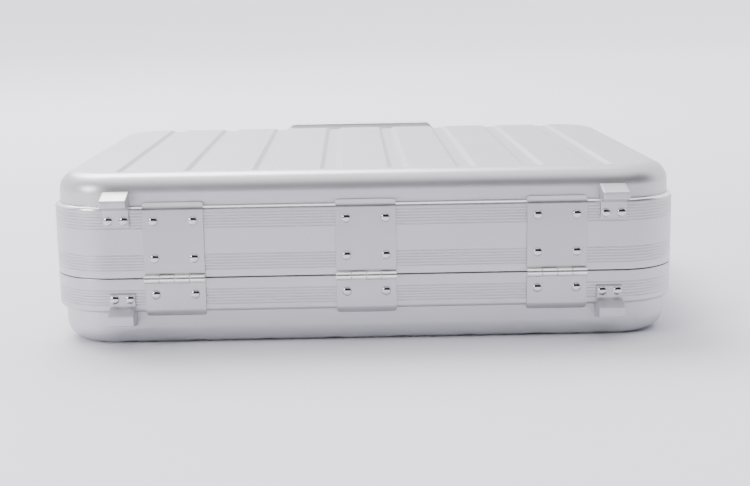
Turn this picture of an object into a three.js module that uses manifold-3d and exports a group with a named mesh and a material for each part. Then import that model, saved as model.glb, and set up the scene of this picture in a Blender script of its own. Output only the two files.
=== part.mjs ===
// An all-aluminium poker chip case: two pressed pans in two extruded frames, joined by three butt hinges.
// Millimetres, +Z up. The hinges are on the +Y side, the handle and latches on the -Y side, and the case
// lies closed on its shallow half, with the deep half as the lid. z = 0 is the underside.
import * as THREE from "three";
import { mergeVertices } from "three/addons/utils/BufferGeometryUtils.js";
import Module from "manifold-3d";

const wasm = await Module();
wasm.setup();

// Outside of the case.
const WIDTH = 456;
const DEPTH = 345;
const CORNER = 45;
const TOP_Z = 124.7;
const SEAM_Z = 50.4;
const SEAM_GAP = 0.4;
const LOWER_RIM_Z = 25.5;
const UPPER_RIM_Z = 102.4;
const FIT = 0.3;
const FACE = DEPTH / 2;
const CORNER_STEPS = 3;

// Extruded frames.
const FRAME_WALL = 2.6;
const RIM_LAND = { inset: 3.4, height: 4 };
const BACKING = { outer: 2.8, inner: 3.5, margin: 2 };
const RIM_BEVEL = 2.8;
const FLANGE_WIDTH = 9;
const FLANGE_LOWER = 4.4;
const FLANGE_UPPER = 6.6;
const TONGUE = { outer: 5, inner: 6.4, height: 2.9 };
const TONGUE_ROOM = 0.7;

// Pressed pans.
const SHEET = 1.2;
const PAN_ROUND = 14;
const PAN_STEPS = 3;
const UPPER_INSET = 3.7;
const LOWER_INSET = 4.4;
const GROOVES = 8;
const GROOVE_PITCH = 49.2;
const GROOVE_FLOOR = 10;
const GROOVE_DEPTH = 2;
const GROOVE_START = 25;

// Butt hinges.
const HINGE_PITCH = 136.5;
const HINGE_WIDTH = 43;
const LEAF = 1.5;
const BARREL_R = 3.15;
const PIN_R = 1.5;
const BORE_R = 1.75;
const AXIS_Y = FACE + FIT + BARREL_R + 0.05;
const AXIS_Z = 50.6;
const KNUCKLES = 4;
const LEAF_LIP = 4.9;
const HINGE_RIVET_X = 14;
const UPPER_HINGE_RIVETS_Z = [65, 92];
const LOWER_HINGE_RIVETS_Z = [38.8];

// Dome rivets.
const RIVET_R = 3.3;
const RIVET_HEIGHT = 1.8;
const SHANK_R = 1.5;
const RIVET_HOLE_R = 1.85;
const ROUND_SMALL = 6;

// Standing feet on the hinge side.
const UPPER_FOOT_X = 176.6;
const LOWER_FOOT_X = 174.7;
const FOOT_WIDTH = 18.6;
const FOOT_PLATE = 1.8;
const FOOT_REACH = 13.5;
const FOOT_RIVET_X = 5.5;
const UPPER_FOOT_RIVET_Z = 92.7;
const LOWER_FOOT_RIVET_Z = 35.8;

// Carry handle on the front of the lid, folded up.
const HANDLE = {
  pivotY: -182.5, pivotZ: 70, half: 72, leg: 14, top: 57, bar: 15, chamfer: 7, pinR: 2.5, holeR: 2.85,
};
const PAD_IN = 6;
const PAD_THICK = 4;
const HANDLE_PLATE = { width: 43, height: 24, ear: 2.6, earHalf: 7.5, earOut: 6.5, rivetX: 16.6, rivetZ: 7 };

// Draw latches on the front of the lid, and their keepers on the lower frame.
const LATCH_X = 140;
const STUB_OUT = 0.8;
const LATCH_RIVETS_Z = [78, 91];
const KEEPER_RIVET = { x: 8, z: 34 };
const LATCH = {
  pivotY: -181, pivotZ: 61, plateWidth: 30, plateLow: 53.2, plateHigh: 97, ear: 1.5, stubR: 1.6,
};
const LEVER = { width: 26, thick: 2, low: 10, high: 38, cheekIn: 8.8, cheekOut: 11 };
const CLAW = { pinY: 1.2, pinZ: 6.5, pinR: 1.4, holeR: 1.7, eyeR: 3, half: 8, length: 31.5, thick: 1.6 };
const KEEPER = { width: 26, low: 29.5, high: 44, lipLow: 39, lipHigh: 41.5, gap: 0.4 };

// Lid stays: a slotted arm on the base and a pin on the lid, each side.
const STAY_X = 212.6;
const STAY = {
  foot: [-49, -21], pin: [-100, 15], opening: 95, pinR: 2.4, slotHalf: 2.8, half: 5.5, thick: 2, steps: 8,
};
const STAY_HEAD = { r: 4.4, thick: 1.2 };
const STAY_PLATE_IN = 216.2;
const STAY_PLATE_OUT = 217.8;
const STAY_FOOT_OUT = 220.8;
const STAY_BRACKET_HALF = 8;
const STAY_BRACKET_DROP = 6;

// Chip inserts in the lower half.
const TRAY = { half: 209, halfY: 159, corner: 16, floorZ: 4.6, deckZ: 33.5, split: 31.8, gap: 0.3, end: 7 };
const CHANNEL = { r: 20.2, axisZ: 28.5, pitch: 43, edge: 4.1 };
const TRAY_CHANNELS = 4;
const TRAY_MIDDLE = { half: 30, floorZ: 8 };

// Foam pad and its board in the lid.
const PAD = { half: 208.5, halfY: 158, low: 53.5, high: 80, board: 3, corner: 30 };

const EXTRA = 5;

const FINISHES = {
  pan: { color: 0xcfd1d5, roughness: 0.42, metalness: 0.75 },
  frame: { color: 0xbfc1c5, roughness: 0.38, metalness: 0.8 },
  plate: { color: 0xb9bbbf, roughness: 0.36, metalness: 0.85 },
  steel: { color: 0xd6d7da, roughness: 0.12, metalness: 1 },
  dark_plastic: { color: 0x232427, roughness: 0.7, metalness: 0 },
  flock: { color: 0x1b1c1f, roughness: 0.95, metalness: 0 },
  foam: { color: 0x2b2c30, roughness: 0.95, metalness: 0 },
  board: { color: 0x26262a, roughness: 0.9, metalness: 0 },
};

// A closed three.js geometry as a solid. Slivers with a repeated corner, at the poles of a lathe, go.
function solid(geometry) {
  const bare = geometry.clone();
  bare.deleteAttribute("normal");
  bare.deleteAttribute("uv");
  const merged = mergeVertices(bare, 1e-4);
  const corners = merged.index.array;
  const kept = [];
  for (let i = 0; i < corners.length; i += 3) {
    const [a, b, c] = [corners[i], corners[i + 1], corners[i + 2]];
    if (a !== b && b !== c && c !== a) kept.push(a, b, c);
  }
  const vertProperties = merged.attributes.position.array;
  return new wasm.Manifold(new wasm.Mesh({ numProp: 3, vertProperties, triVerts: new Uint32Array(kept) }));
}

// A solid back as a three.js geometry.
function geometryOf(body) {
  const { vertProperties, triVerts } = body.getMesh();
  const geometry = new THREE.BufferGeometry();
  geometry.setAttribute("position", new THREE.BufferAttribute(vertProperties, 3));
  geometry.setIndex(new THREE.BufferAttribute(triVerts, 1));
  return geometry;
}

const inOrder = (a, b) => [Math.min(a, b), Math.max(a, b)];
const joined = (bodies) => bodies.reduce((whole, next) => whole.add(next));
const cut = (body, tools) => (tools.length ? body.subtract(joined(tools)) : body);
const sides = (make) => [-1, 1].map(make);

function box(x0, x1, y0, y1, z0, z1) {
  const geometry = new THREE.BoxGeometry(Math.abs(x1 - x0), Math.abs(y1 - y0), Math.abs(z1 - z0));
  return solid(geometry.translate((x0 + x1) / 2, (y0 + y1) / 2, (z0 + z1) / 2));
}

// A rounded rectangle about the middle.
function rounded(width, depth, radius) {
  const [a, b] = [width / 2 - radius, depth / 2 - radius];
  const shape = new THREE.Shape();
  shape.absarc(a, b, radius, 0, Math.PI / 2);
  shape.absarc(-a, b, radius, Math.PI / 2, Math.PI);
  shape.absarc(-a, -b, radius, Math.PI, 1.5 * Math.PI);
  shape.absarc(a, -b, radius, 1.5 * Math.PI, 2 * Math.PI);
  return shape;
}

// The case's plan outline, moved in from the frame's face.
const outline = (inset) => rounded(WIDTH - 2 * inset, DEPTH - 2 * inset, CORNER - inset);

function slab(shape, low, high) {
  const geometry = new THREE.ExtrudeGeometry(shape, {
    depth: high - low,
    bevelEnabled: false,
    curveSegments: CORNER_STEPS,
  });
  return solid(geometry.translate(0, 0, low));
}

const ring = (outer, inner, low, high) =>
  slab(outline(outer), low, high).subtract(slab(outline(inner), low - 1, high + 1));

// A block with the case's outline, flat at z = 0 and rounded over all round its far end.
function softBlock(inset, height, round, steps) {
  const geometry = new THREE.ExtrudeGeometry(outline(inset), {
    depth: height,
    bevelThickness: round,
    bevelSize: round,
    bevelOffset: -round,
    bevelSegments: steps,
    curveSegments: CORNER_STEPS,
  });
  const block = solid(geometry.translate(0, 0, -round));
  return block.intersect(box(-WIDTH, WIDTH, -DEPTH, DEPTH, 0, height + EXTRA));
}

// Straight lengths of a section, points as [across, up]: along X the section is [y, z], along Y it is [x, z].
const ALONG_X = new THREE.Matrix4().makeBasis(
  new THREE.Vector3(0, 1, 0),
  new THREE.Vector3(0, 0, 1),
  new THREE.Vector3(1, 0, 0),
);
const ALONG_Y = new THREE.Matrix4().makeRotationX(Math.PI / 2);

function extruded(shape, length, curveSegments = ROUND_SMALL) {
  return new THREE.ExtrudeGeometry(shape, { depth: length, bevelEnabled: false, curveSegments });
}

function shapeOf(points, holes = []) {
  const shape = new THREE.Shape(points.map(([u, v]) => new THREE.Vector2(u, v)));
  shape.holes.push(...holes);
  return shape;
}

const alongX = (points, x0, x1) =>
  solid(extruded(shapeOf(points), x1 - x0).applyMatrix4(ALONG_X).translate(x0, 0, 0));
const alongY = (points, y0, y1) =>
  solid(extruded(shapeOf(points), y1 - y0).applyMatrix4(ALONG_Y).translate(0, y1, 0));

function rodX(radius, x0, x1, y, z, segments = 12) {
  const geometry = new THREE.CylinderGeometry(radius, radius, Math.abs(x1 - x0), segments);
  return solid(geometry.rotateZ(Math.PI / 2).translate((x0 + x1) / 2, y, z));
}

function rodY(radius, y0, y1, x, z, segments = ROUND_SMALL) {
  const geometry = new THREE.CylinderGeometry(radius, radius, Math.abs(y1 - y0), segments);
  return solid(geometry.translate(x, (y0 + y1) / 2, z));
}

// A dome rivet whose head sits on a plate's outer face and whose shank is peened into the backing strip.
// side is 1 for a head that faces +Y and -1 for one that faces -Y.
function rivet(x, seat, z, side) {
  const base = seat + FIT / 3;
  const tail = FACE - BACKING.inner;
  const profile = [
    [0, tail],
    [SHANK_R, tail],
    [SHANK_R, base],
    [RIVET_R, base],
    [RIVET_R * 0.72, base + RIVET_HEIGHT * 0.75],
    [0, base + RIVET_HEIGHT],
  ];
  const geometry = new THREE.LatheGeometry(profile.map(([r, y]) => new THREE.Vector2(r, y)), ROUND_SMALL);
  if (side < 0) geometry.rotateX(Math.PI);
  return solid(geometry.translate(x, 0, z));
}

const rivetHole = (x, z, side) =>
  rodY(RIVET_HOLE_R, side * (FACE - BACKING.outer), side * (FACE + EXTRA), x, z);

// Where the rivets are, as [x, z].
const hingeXs = [-HINGE_PITCH, 0, HINGE_PITCH];
const grid = (xs, zs) => xs.flatMap((x) => zs.map((z) => [x, z]));
const about = (centre, offset) => [centre - offset, centre + offset];
const RIVETS = {
  upperHinge: hingeXs.flatMap((x) => grid(about(x, HINGE_RIVET_X), UPPER_HINGE_RIVETS_Z)),
  lowerHinge: hingeXs.flatMap((x) => grid(about(x, HINGE_RIVET_X), LOWER_HINGE_RIVETS_Z)),
  upperFoot: sides((s) => grid(about(s * UPPER_FOOT_X, FOOT_RIVET_X), [UPPER_FOOT_RIVET_Z])).flat(),
  lowerFoot: sides((s) => grid(about(s * LOWER_FOOT_X, FOOT_RIVET_X), [LOWER_FOOT_RIVET_Z])).flat(),
  handle: sides((s) =>
    grid(
      about(s * (HANDLE.half - HANDLE.leg / 2), HANDLE_PLATE.rivetX),
      about(HANDLE.pivotZ, HANDLE_PLATE.rivetZ),
    ),
  ).flat(),
  latch: sides((s) => grid([s * LATCH_X], LATCH_RIVETS_Z)).flat(),
  keeper: sides((s) => grid(about(s * LATCH_X, KEEPER_RIVET.x), [KEEPER_RIVET.z])).flat(),
};
const holesFor = (names, side) =>
  names.flatMap((name) => RIVETS[name].map(([x, z]) => rivetHole(x, z, side)));

// One frame with its flat seam at z = 0 and its bevelled rim at the far end.
function frameBody(height, flange) {
  const block = softBlock(0, height, RIM_BEVEL, 1);
  const core = slab(outline(FRAME_WALL), -EXTRA, height - RIM_LAND.height);
  const mouth = slab(outline(RIM_LAND.inset), height - RIM_LAND.height - 1, height + EXTRA);
  return cut(block, [core, mouth]).add(ring(FRAME_WALL - 0.4, FLANGE_WIDTH, 0, flange));
}

// One pressed pan with its open edge at z = 0: its grooves are closed at the +Y end and run out at -Y.
function panBody(inset, height) {
  const grooveOf = (grow) => {
    const half = GROOVE_FLOOR / 2 + grow;
    const far = FACE + EXTRA;
    const near = FACE - GROOVE_START - half;
    const shape = new THREE.Shape();
    shape.moveTo(-half, -far);
    shape.lineTo(half, -far);
    shape.absarc(0, near, half, 0, Math.PI);
    const geometry = new THREE.ExtrudeGeometry(shape, {
      depth: EXTRA,
      bevelThickness: GROOVE_DEPTH,
      bevelSize: GROOVE_DEPTH,
      bevelSegments: 1,
      curveSegments: 2,
    });
    return geometry.translate(0, 0, height - grow);
  };
  const row = (grow) =>
    Array.from({ length: GROOVES }, (_, i) => {
      const x = (i - (GROOVES - 1) / 2) * GROOVE_PITCH;
      return solid(grooveOf(grow).translate(x, 0, 0));
    });
  const outer = cut(softBlock(inset, height, PAN_ROUND, PAN_STEPS), row(0));
  const hollow = softBlock(inset + SHEET, height - SHEET, PAN_ROUND - SHEET, PAN_STEPS);
  return outer.subtract(cut(hollow, row(SHEET)).add(slab(outline(inset + SHEET), -1, 1)));
}

// A leaf in the frame of the hinge's axis, up being away from the axis along the case.
function leafBody(rim, firstKnuckle) {
  const inner = FIT + FACE - AXIS_Y;
  const outer = inner + LEAF;
  const bend = rim - RIM_BEVEL;
  const start = BARREL_R + 0.5;
  const section = [
    [inner, start],
    [outer, start],
    [outer, bend],
    [inner - 2.9, rim + LEAF_LIP - 2.8 + 0.1],
    [inner - 3.6, rim + LEAF_LIP - 3.6],
    [inner, bend + 0.1],
  ];
  const half = HINGE_WIDTH / 2;
  const step = HINGE_WIDTH / KNUCKLES;
  const pieces = [alongX(section, -half, half)];
  for (let i = firstKnuckle; i < KNUCKLES; i += 2) {
    const x0 = -half + i * step + FIT / 2;
    const x1 = x0 + step - FIT;
    pieces.push(rodX(BARREL_R, x0, x1, 0, 0));
    pieces.push(alongX([[inner, 0], [outer, 0], [outer, start + 1], [inner, start + 1]], x0, x1));
  }
  return joined(pieces).subtract(rodX(BORE_R, -HINGE_WIDTH, HINGE_WIDTH, 0, 0));
}

const UP = new THREE.Matrix4();
const TURNED = new THREE.Matrix4().makeRotationX(Math.PI);
// A body placed: turned over or not, then moved.
const placed = (body, turn, x, y, z) => solid(geometryOf(body).applyMatrix4(turn).translate(x, y, z));
// The same leaf the other way up: it is turned about Y, so that it stays on the +Y side.
const DOWN = new THREE.Matrix4().makeRotationY(Math.PI);

const group = new THREE.Group();
group.name = "poker_chip_case";

function add(name, body, finish) {
  const mesh = new THREE.Mesh(geometryOf(body), new THREE.MeshStandardMaterial(FINISHES[finish]));
  mesh.geometry.computeVertexNormals();
  mesh.name = name;
  group.add(mesh);
}

const sideName = (s) => (s < 0 ? "left" : "right");

// Pans.
const upperOpen = SEAM_Z + SEAM_GAP + FLANGE_UPPER + FIT;
const lowerOpen = SEAM_Z - FLANGE_LOWER - FIT;
add("upper_shell", placed(panBody(UPPER_INSET, TOP_Z - upperOpen), UP, 0, 0, upperOpen), "pan");
add("lower_shell", placed(panBody(LOWER_INSET, lowerOpen), TURNED, 0, 0, lowerOpen), "pan");

// Frames: the lower one carries a tongue that the upper one's groove receives.
const upperSeam = SEAM_Z + SEAM_GAP;
const tongueGroove = ring(
  TONGUE.outer - TONGUE_ROOM,
  TONGUE.inner + TONGUE_ROOM,
  -1,
  TONGUE.height - SEAM_GAP + TONGUE_ROOM,
);
const upperFrame = placed(
  frameBody(UPPER_RIM_Z - upperSeam, FLANGE_UPPER).subtract(tongueGroove), UP, 0, 0, upperSeam,
);
const lowerFrame = placed(frameBody(SEAM_Z - LOWER_RIM_Z, FLANGE_LOWER), TURNED, 0, 0, SEAM_Z)
  .add(ring(TONGUE.outer, TONGUE.inner, SEAM_Z - 1, SEAM_Z + TONGUE.height));
add(
  "upper_frame",
  cut(upperFrame, [...holesFor(["upperHinge", "upperFoot"], 1), ...holesFor(["handle", "latch"], -1)]),
  "frame",
);
add(
  "lower_frame",
  cut(lowerFrame, [...holesFor(["lowerHinge", "lowerFoot"], 1), ...holesFor(["keeper"], -1)]),
  "frame",
);

// Hinges, numbered from -X.
const upperLeaf = leafBody(UPPER_RIM_Z - AXIS_Z, 1);
const lowerLeaf = leafBody(AXIS_Z - LOWER_RIM_Z, 1);
hingeXs.forEach((x, i) => {
  const name = ["left", "middle", "right"][i];
  const upper = placed(upperLeaf, UP, x, AXIS_Y, AXIS_Z);
  const lower = placed(lowerLeaf, DOWN, x, AXIS_Y, AXIS_Z);
  add("hinge_upper_leaf_" + name, cut(upper, holesFor(["upperHinge"], 1)), "plate");
  add("hinge_lower_leaf_" + name, cut(lower, holesFor(["lowerHinge"], 1)), "plate");
  add("hinge_pin_" + name, rodX(PIN_R, x - HINGE_WIDTH / 2, x + HINGE_WIDTH / 2, AXIS_Y, AXIS_Z), "steel");
});

// Standing feet: a riveted plate and a wedge that carries the case when it stands on its hinge side.
const plateY = FACE + FIT;
const footFace = FACE + FOOT_REACH;
const upperFootSection = [
  [plateY, 88.5],
  [plateY + FOOT_PLATE, 88.5],
  [plateY + FOOT_PLATE, 100.5],
  [footFace, 103.6],
  [footFace, 108.8],
  [FACE - UPPER_INSET + 0.4, 113.2],
  [FACE - UPPER_INSET + 0.4, UPPER_RIM_Z + 0.6],
  [plateY, UPPER_RIM_Z - RIM_BEVEL + 0.2],
];
const lowerFootSection = [
  [plateY, 39.5],
  [plateY + FOOT_PLATE, 39.5],
  [plateY + FOOT_PLATE, 30.5],
  [footFace, 25.9],
  [footFace, 18.9],
  [FACE - LOWER_INSET + 0.4, 15.2],
  [FACE - LOWER_INSET + 0.4, LOWER_RIM_Z - FIT],
  [FACE - RIM_BEVEL, LOWER_RIM_Z - FIT],
  [plateY, LOWER_RIM_Z + RIM_BEVEL - FIT],
];
for (const s of [-1, 1]) {
  const [ux, lx] = [s * UPPER_FOOT_X, s * LOWER_FOOT_X];
  const half = FOOT_WIDTH / 2;
  const upper = alongX(upperFootSection, ux - half, ux + half);
  const lower = alongX(lowerFootSection, lx - half, lx + half);
  add("upper_foot_" + sideName(s), cut(upper, holesFor(["upperFoot"], 1)), "plate");
  add("lower_foot_" + sideName(s), cut(lower, holesFor(["lowerFoot"], 1)), "plate");
}

// Rivets, one node for each set: their tails are peened into one backing strip behind the frame's wall.
function rivetSet(points, seat, side) {
  const xs = points.map(([x]) => x);
  const zs = points.map(([, z]) => z);
  const { outer, inner, margin } = BACKING;
  const strip = box(
    Math.min(...xs) - margin, Math.max(...xs) + margin, side * (FACE - inner), side * (FACE - outer),
    Math.min(...zs) - margin, Math.max(...zs) + margin,
  );
  return joined([strip, ...points.map(([x, z]) => rivet(x, seat, z, side))]);
}
const leafSeat = FACE + FIT + LEAF;
const footSeat = plateY + FOOT_PLATE;
add("upper_hinge_rivets", rivetSet(RIVETS.upperHinge, leafSeat, 1), "steel");
add("lower_hinge_rivets", rivetSet(RIVETS.lowerHinge, leafSeat, 1), "steel");
add("handle_rivets", rivetSet(RIVETS.handle, leafSeat, -1), "steel");
for (const s of [-1, 1]) {
  const own = (name) => RIVETS[name].filter(([x]) => x * s > 0);
  add("upper_foot_rivets_" + sideName(s), rivetSet(own("upperFoot"), footSeat, 1), "steel");
  add("lower_foot_rivets_" + sideName(s), rivetSet(own("lowerFoot"), footSeat, 1), "steel");
  add("latch_rivets_" + sideName(s), rivetSet(own("latch"), leafSeat, -1), "steel");
  add("keeper_rivets_" + sideName(s), rivetSet(own("keeper"), leafSeat, -1), "steel");
}

// Handle: a bow on two riveted brackets, with a soft pad under its bar.
const bowFront = [
  [-HANDLE.half, -5],
  [-HANDLE.half + HANDLE.leg, -5],
  [-HANDLE.half + HANDLE.leg, HANDLE.top - HANDLE.bar],
  [HANDLE.half - HANDLE.leg, HANDLE.top - HANDLE.bar],
  [HANDLE.half - HANDLE.leg, -5],
  [HANDLE.half, -5],
  [HANDLE.half, HANDLE.top - HANDLE.chamfer],
  [HANDLE.half - HANDLE.chamfer, HANDLE.top],
  [-HANDLE.half + HANDLE.chamfer, HANDLE.top],
  [-HANDLE.half, HANDLE.top - HANDLE.chamfer],
];
const bowSide = [
  [-4.5, -5],
  [4.5, -5],
  [4.5, 6],
  [7.5, 14],
  [7.5, HANDLE.top - 2.5],
  [5, HANDLE.top],
  [0, HANDLE.top],
  [-2.5, HANDLE.top - 2.5],
  [-2.5, 14],
  [-4.5, 8],
];
const bow = alongX(bowSide, -HANDLE.half - 1, HANDLE.half + 1)
  .intersect(alongY(bowFront, -20, 20))
  .subtract(rodX(HANDLE.holeR, -HANDLE.half - 1, HANDLE.half + 1, 0, 0));
add("handle_bow", placed(bow, UP, 0, HANDLE.pivotY, HANDLE.pivotZ), "plate");
const padHalf = HANDLE.half - HANDLE.leg - PAD_IN;
const padTop = HANDLE.pivotZ + HANDLE.top - HANDLE.bar - FIT;
const padSection = [
  [HANDLE.pivotY - 3.5, padTop],
  [HANDLE.pivotY - 1.5, padTop - PAD_THICK],
  [HANDLE.pivotY + 6.5, padTop - PAD_THICK],
  [HANDLE.pivotY + 8.5, padTop],
];
add("handle_pad", alongX(padSection, -padHalf, padHalf), "dark_plastic");

const legMiddle = HANDLE.half - HANDLE.leg / 2;
const earIn = HANDLE.leg / 2 + 0.5;
const earOut = earIn + HANDLE_PLATE.ear;
function handleBracket(centre) {
  const { width, height, earHalf, earOut: reach } = HANDLE_PLATE;
  const plate = box(
    centre - width / 2, centre + width / 2, -plateY - LEAF, -plateY,
    HANDLE.pivotZ - height / 2, HANDLE.pivotZ + height / 2,
  );
  const ears = sides((s) =>
    box(
      centre + s * earIn, centre + s * earOut, HANDLE.pivotY - reach, -plateY,
      HANDLE.pivotZ - earHalf, HANDLE.pivotZ + earHalf,
    ),
  );
  const bore = rodX(
    HANDLE.pinR + 0.2, centre - earOut - 1, centre + earOut + 1, HANDLE.pivotY, HANDLE.pivotZ,
  );
  return cut(joined([plate, ...ears]), [bore, ...holesFor(["handle"], -1)]);
}
const handlePin = (centre) =>
  rodX(HANDLE.pinR, centre - earOut - 0.8, centre + earOut + 0.8, HANDLE.pivotY, HANDLE.pivotZ);
for (const s of [-1, 1]) {
  add("handle_bracket_" + sideName(s), handleBracket(s * legMiddle), "plate");
  add("handle_pin_" + sideName(s), handlePin(s * legMiddle), "steel");
}

// Draw latches, each in the frame of its lever's pivot.
const baseFace = -plateY - LATCH.pivotY;
const cheekSection = [[-4.5, -4], [3, -4], [3.2, 9], [1, LEVER.low + 8], [-4.5, LEVER.low + 8]];
const leverSection = [
  [-4.5, LEVER.low],
  [-4.5 + LEVER.thick, LEVER.low],
  [-4.5 + LEVER.thick, LEVER.high - 5],
  [-6.2 + LEVER.thick, LEVER.high],
  [-6.8, LEVER.high - 1],
  [-4.5, LEVER.high - 6],
];
function latchBase() {
  const half = LATCH.plateWidth / 2;
  const plate = box(
    -half, half, baseFace - LEAF, baseFace, LATCH.plateLow - LATCH.pivotZ, LATCH.plateHigh - LATCH.pivotZ,
  );
  const ears = sides((s) => box(s * (half - LATCH.ear), s * half, -3.2, baseFace, -4.5, 6));
  const stubs = sides((s) => {
    const ends = inOrder(s * (LEVER.cheekIn + FIT / 3), s * (half + STUB_OUT));
    return rodX(LATCH.stubR, ...ends, 0, 0);
  });
  return joined([plate, ...ears, ...stubs]);
}
function latchLever() {
  const half = LEVER.width / 2;
  const cheeks = sides((s) =>
    alongX(
      cheekSection,
      Math.min(s * LEVER.cheekIn, s * LEVER.cheekOut),
      Math.max(s * LEVER.cheekIn, s * LEVER.cheekOut),
    ),
  );
  const bores = [
    rodX(LATCH.stubR + 0.2, -half - 1, half + 1, 0, 0),
    rodX(CLAW.holeR, -half - 1, half + 1, CLAW.pinY, CLAW.pinZ),
  ];
  return cut(joined([alongX(leverSection, -half, half), ...cheeks]), bores);
}
function latchClaw() {
  const low = CLAW.pinZ - CLAW.length;
  const face = CLAW.pinY + CLAW.eyeR;
  const plate = box(-CLAW.half, CLAW.half, face - CLAW.thick, face, low, CLAW.pinZ);
  const eye = rodX(CLAW.eyeR, -CLAW.half, CLAW.half, CLAW.pinY, CLAW.pinZ);
  const curl = box(-CLAW.half, CLAW.half, face - 3.4, face, low, low + 2);
  return joined([plate, eye, curl]).subtract(
    rodX(CLAW.holeR, -CLAW.half - 1, CLAW.half + 1, CLAW.pinY, CLAW.pinZ),
  );
}
const clawFace = LATCH.pivotY + CLAW.pinY + CLAW.eyeR;
function keeper(x) {
  const half = KEEPER.width / 2;
  const plate = box(x - half, x + half, -plateY - LEAF, -plateY, KEEPER.low, KEEPER.high);
  const lip = box(
    x - CLAW.half, x + CLAW.half, clawFace + KEEPER.gap, -plateY, KEEPER.lipLow, KEEPER.lipHigh,
  );
  return cut(plate.add(lip), holesFor(["keeper"], -1));
}
const at = (body, s) => placed(body, UP, s * LATCH_X, LATCH.pivotY, LATCH.pivotZ);
for (const s of [-1, 1]) {
  add("latch_base_" + sideName(s), cut(at(latchBase(), s), holesFor(["latch"], -1)), "plate");
  add("latch_lever_" + sideName(s), at(latchLever(), s), "plate");
  add("latch_claw_" + sideName(s), at(latchClaw(), s), "steel");
  const reach = LEVER.cheekOut + 0.6;
  add("latch_claw_pin_" + sideName(s), at(rodX(CLAW.pinR, -reach, reach, CLAW.pinY, CLAW.pinZ), s), "steel");
  add("latch_keeper_" + sideName(s), keeper(s * LATCH_X), "plate");
}

// Lid stays. Positions are [y, z] from the hinge's axis. The lid turns the lid pin by an angle, the arm
// turns by a fixed share of it, and the slot is the path of the pin as the arm sees it.
const turned = ([y, z], angle) => [
  y * Math.cos(angle) + z * Math.sin(angle),
  -y * Math.sin(angle) + z * Math.cos(angle),
];
const minus = (a, b) => [a[0] - b[0], a[1] - b[1]];
const opening = THREE.MathUtils.degToRad(STAY.opening);
const lean = ([y, z]) => Math.atan2(y, z);
const fromFoot = (angle) => minus(turned(STAY.pin, angle), STAY.foot);
const STAY_RATIO = (lean(fromFoot(opening)) - lean(fromFoot(0))) / opening;
const slotPoint = (share) => turned(fromFoot(share * opening), -STAY_RATIO * share * opening);

// The outline of a strip about a line of points, with a round end at each end.
function strip(points, half) {
  const direction = (i) => {
    const [a, b] = [points[Math.max(i - 1, 0)], points[Math.min(i + 1, points.length - 1)]];
    return Math.atan2(b[1] - a[1], b[0] - a[0]);
  };
  const offset = (i, turn) => {
    const angle = direction(i) + turn;
    return [points[i][0] + half * Math.cos(angle), points[i][1] + half * Math.sin(angle)];
  };
  const last = points.length - 1;
  const along = points.map((_, i) => offset(i, -Math.PI / 2));
  const back = points.map((_, i) => offset(i, Math.PI / 2)).reverse();
  const cap = [-0.25, 0, 0.25].map((t) => offset(last, t * Math.PI));
  const heel = [0.75, 1, 1.25].map((t) => offset(0, t * Math.PI));
  return [...along, ...cap, ...back, ...heel];
}
function stayArm() {
  const slot = Array.from({ length: STAY.steps + 1 }, (_, i) => slotPoint(i / STAY.steps));
  const hole = new THREE.Path(strip(slot, STAY.slotHalf).map(([y, z]) => new THREE.Vector2(y, z)));
  const eye = new THREE.Path().absarc(0, 0, STAY.slotHalf, 0, 2 * Math.PI);
  const shape = shapeOf(strip([[0, 0], ...slot], STAY.half), [hole, eye]);
  return solid(extruded(shape, STAY.thick).applyMatrix4(ALONG_X).translate(-STAY.thick / 2, 0, 0));
}
const [footY, footZ] = [AXIS_Y + STAY.foot[0], AXIS_Z + STAY.foot[1]];
const [pinY, pinZ] = [AXIS_Y + STAY.pin[0], AXIS_Z + STAY.pin[1]];
function stayPin(s, y, z) {
  const head = s * (STAY_X - STAY.thick / 2 - 0.3);
  const tip = s * (STAY_PLATE_OUT + 0.6);
  return rodX(STAY.pinR, ...inOrder(head, tip), y, z).add(
    rodX(STAY_HEAD.r, ...inOrder(head, head - s * STAY_HEAD.thick), y, z),
  );
}
// An angle bracket: a foot against the frame's flange and a hanging plate that holds the pin.
function stayBracket(s, y, z, flangeZ) {
  const half = STAY_BRACKET_HALF;
  const [low, high] = inOrder(z + Math.sign(z - flangeZ) * STAY_BRACKET_DROP, flangeZ);
  const plate = box(s * STAY_PLATE_IN, s * STAY_PLATE_OUT, y - half, y + half, low, high);
  const tread = flangeZ + Math.sign(z - flangeZ) * LEAF;
  const foot = box(s * STAY_PLATE_IN, s * STAY_FOOT_OUT, y - half, y + half, ...inOrder(flangeZ, tread));
  return plate.add(foot);
}
for (const s of [-1, 1]) {
  add("stay_arm_" + sideName(s), placed(stayArm(), UP, s * STAY_X, footY, footZ), "steel");
  add(
    "stay_base_bracket_" + sideName(s),
    stayBracket(s, footY - 2, footZ, SEAM_Z - FLANGE_LOWER - FIT).add(stayPin(s, footY, footZ)),
    "plate",
  );
  add(
    "stay_lid_bracket_" + sideName(s),
    stayBracket(s, pinY, pinZ, SEAM_Z + SEAM_GAP + FLANGE_UPPER + FIT).add(stayPin(s, pinY, pinZ)),
    "plate",
  );
}

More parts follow.
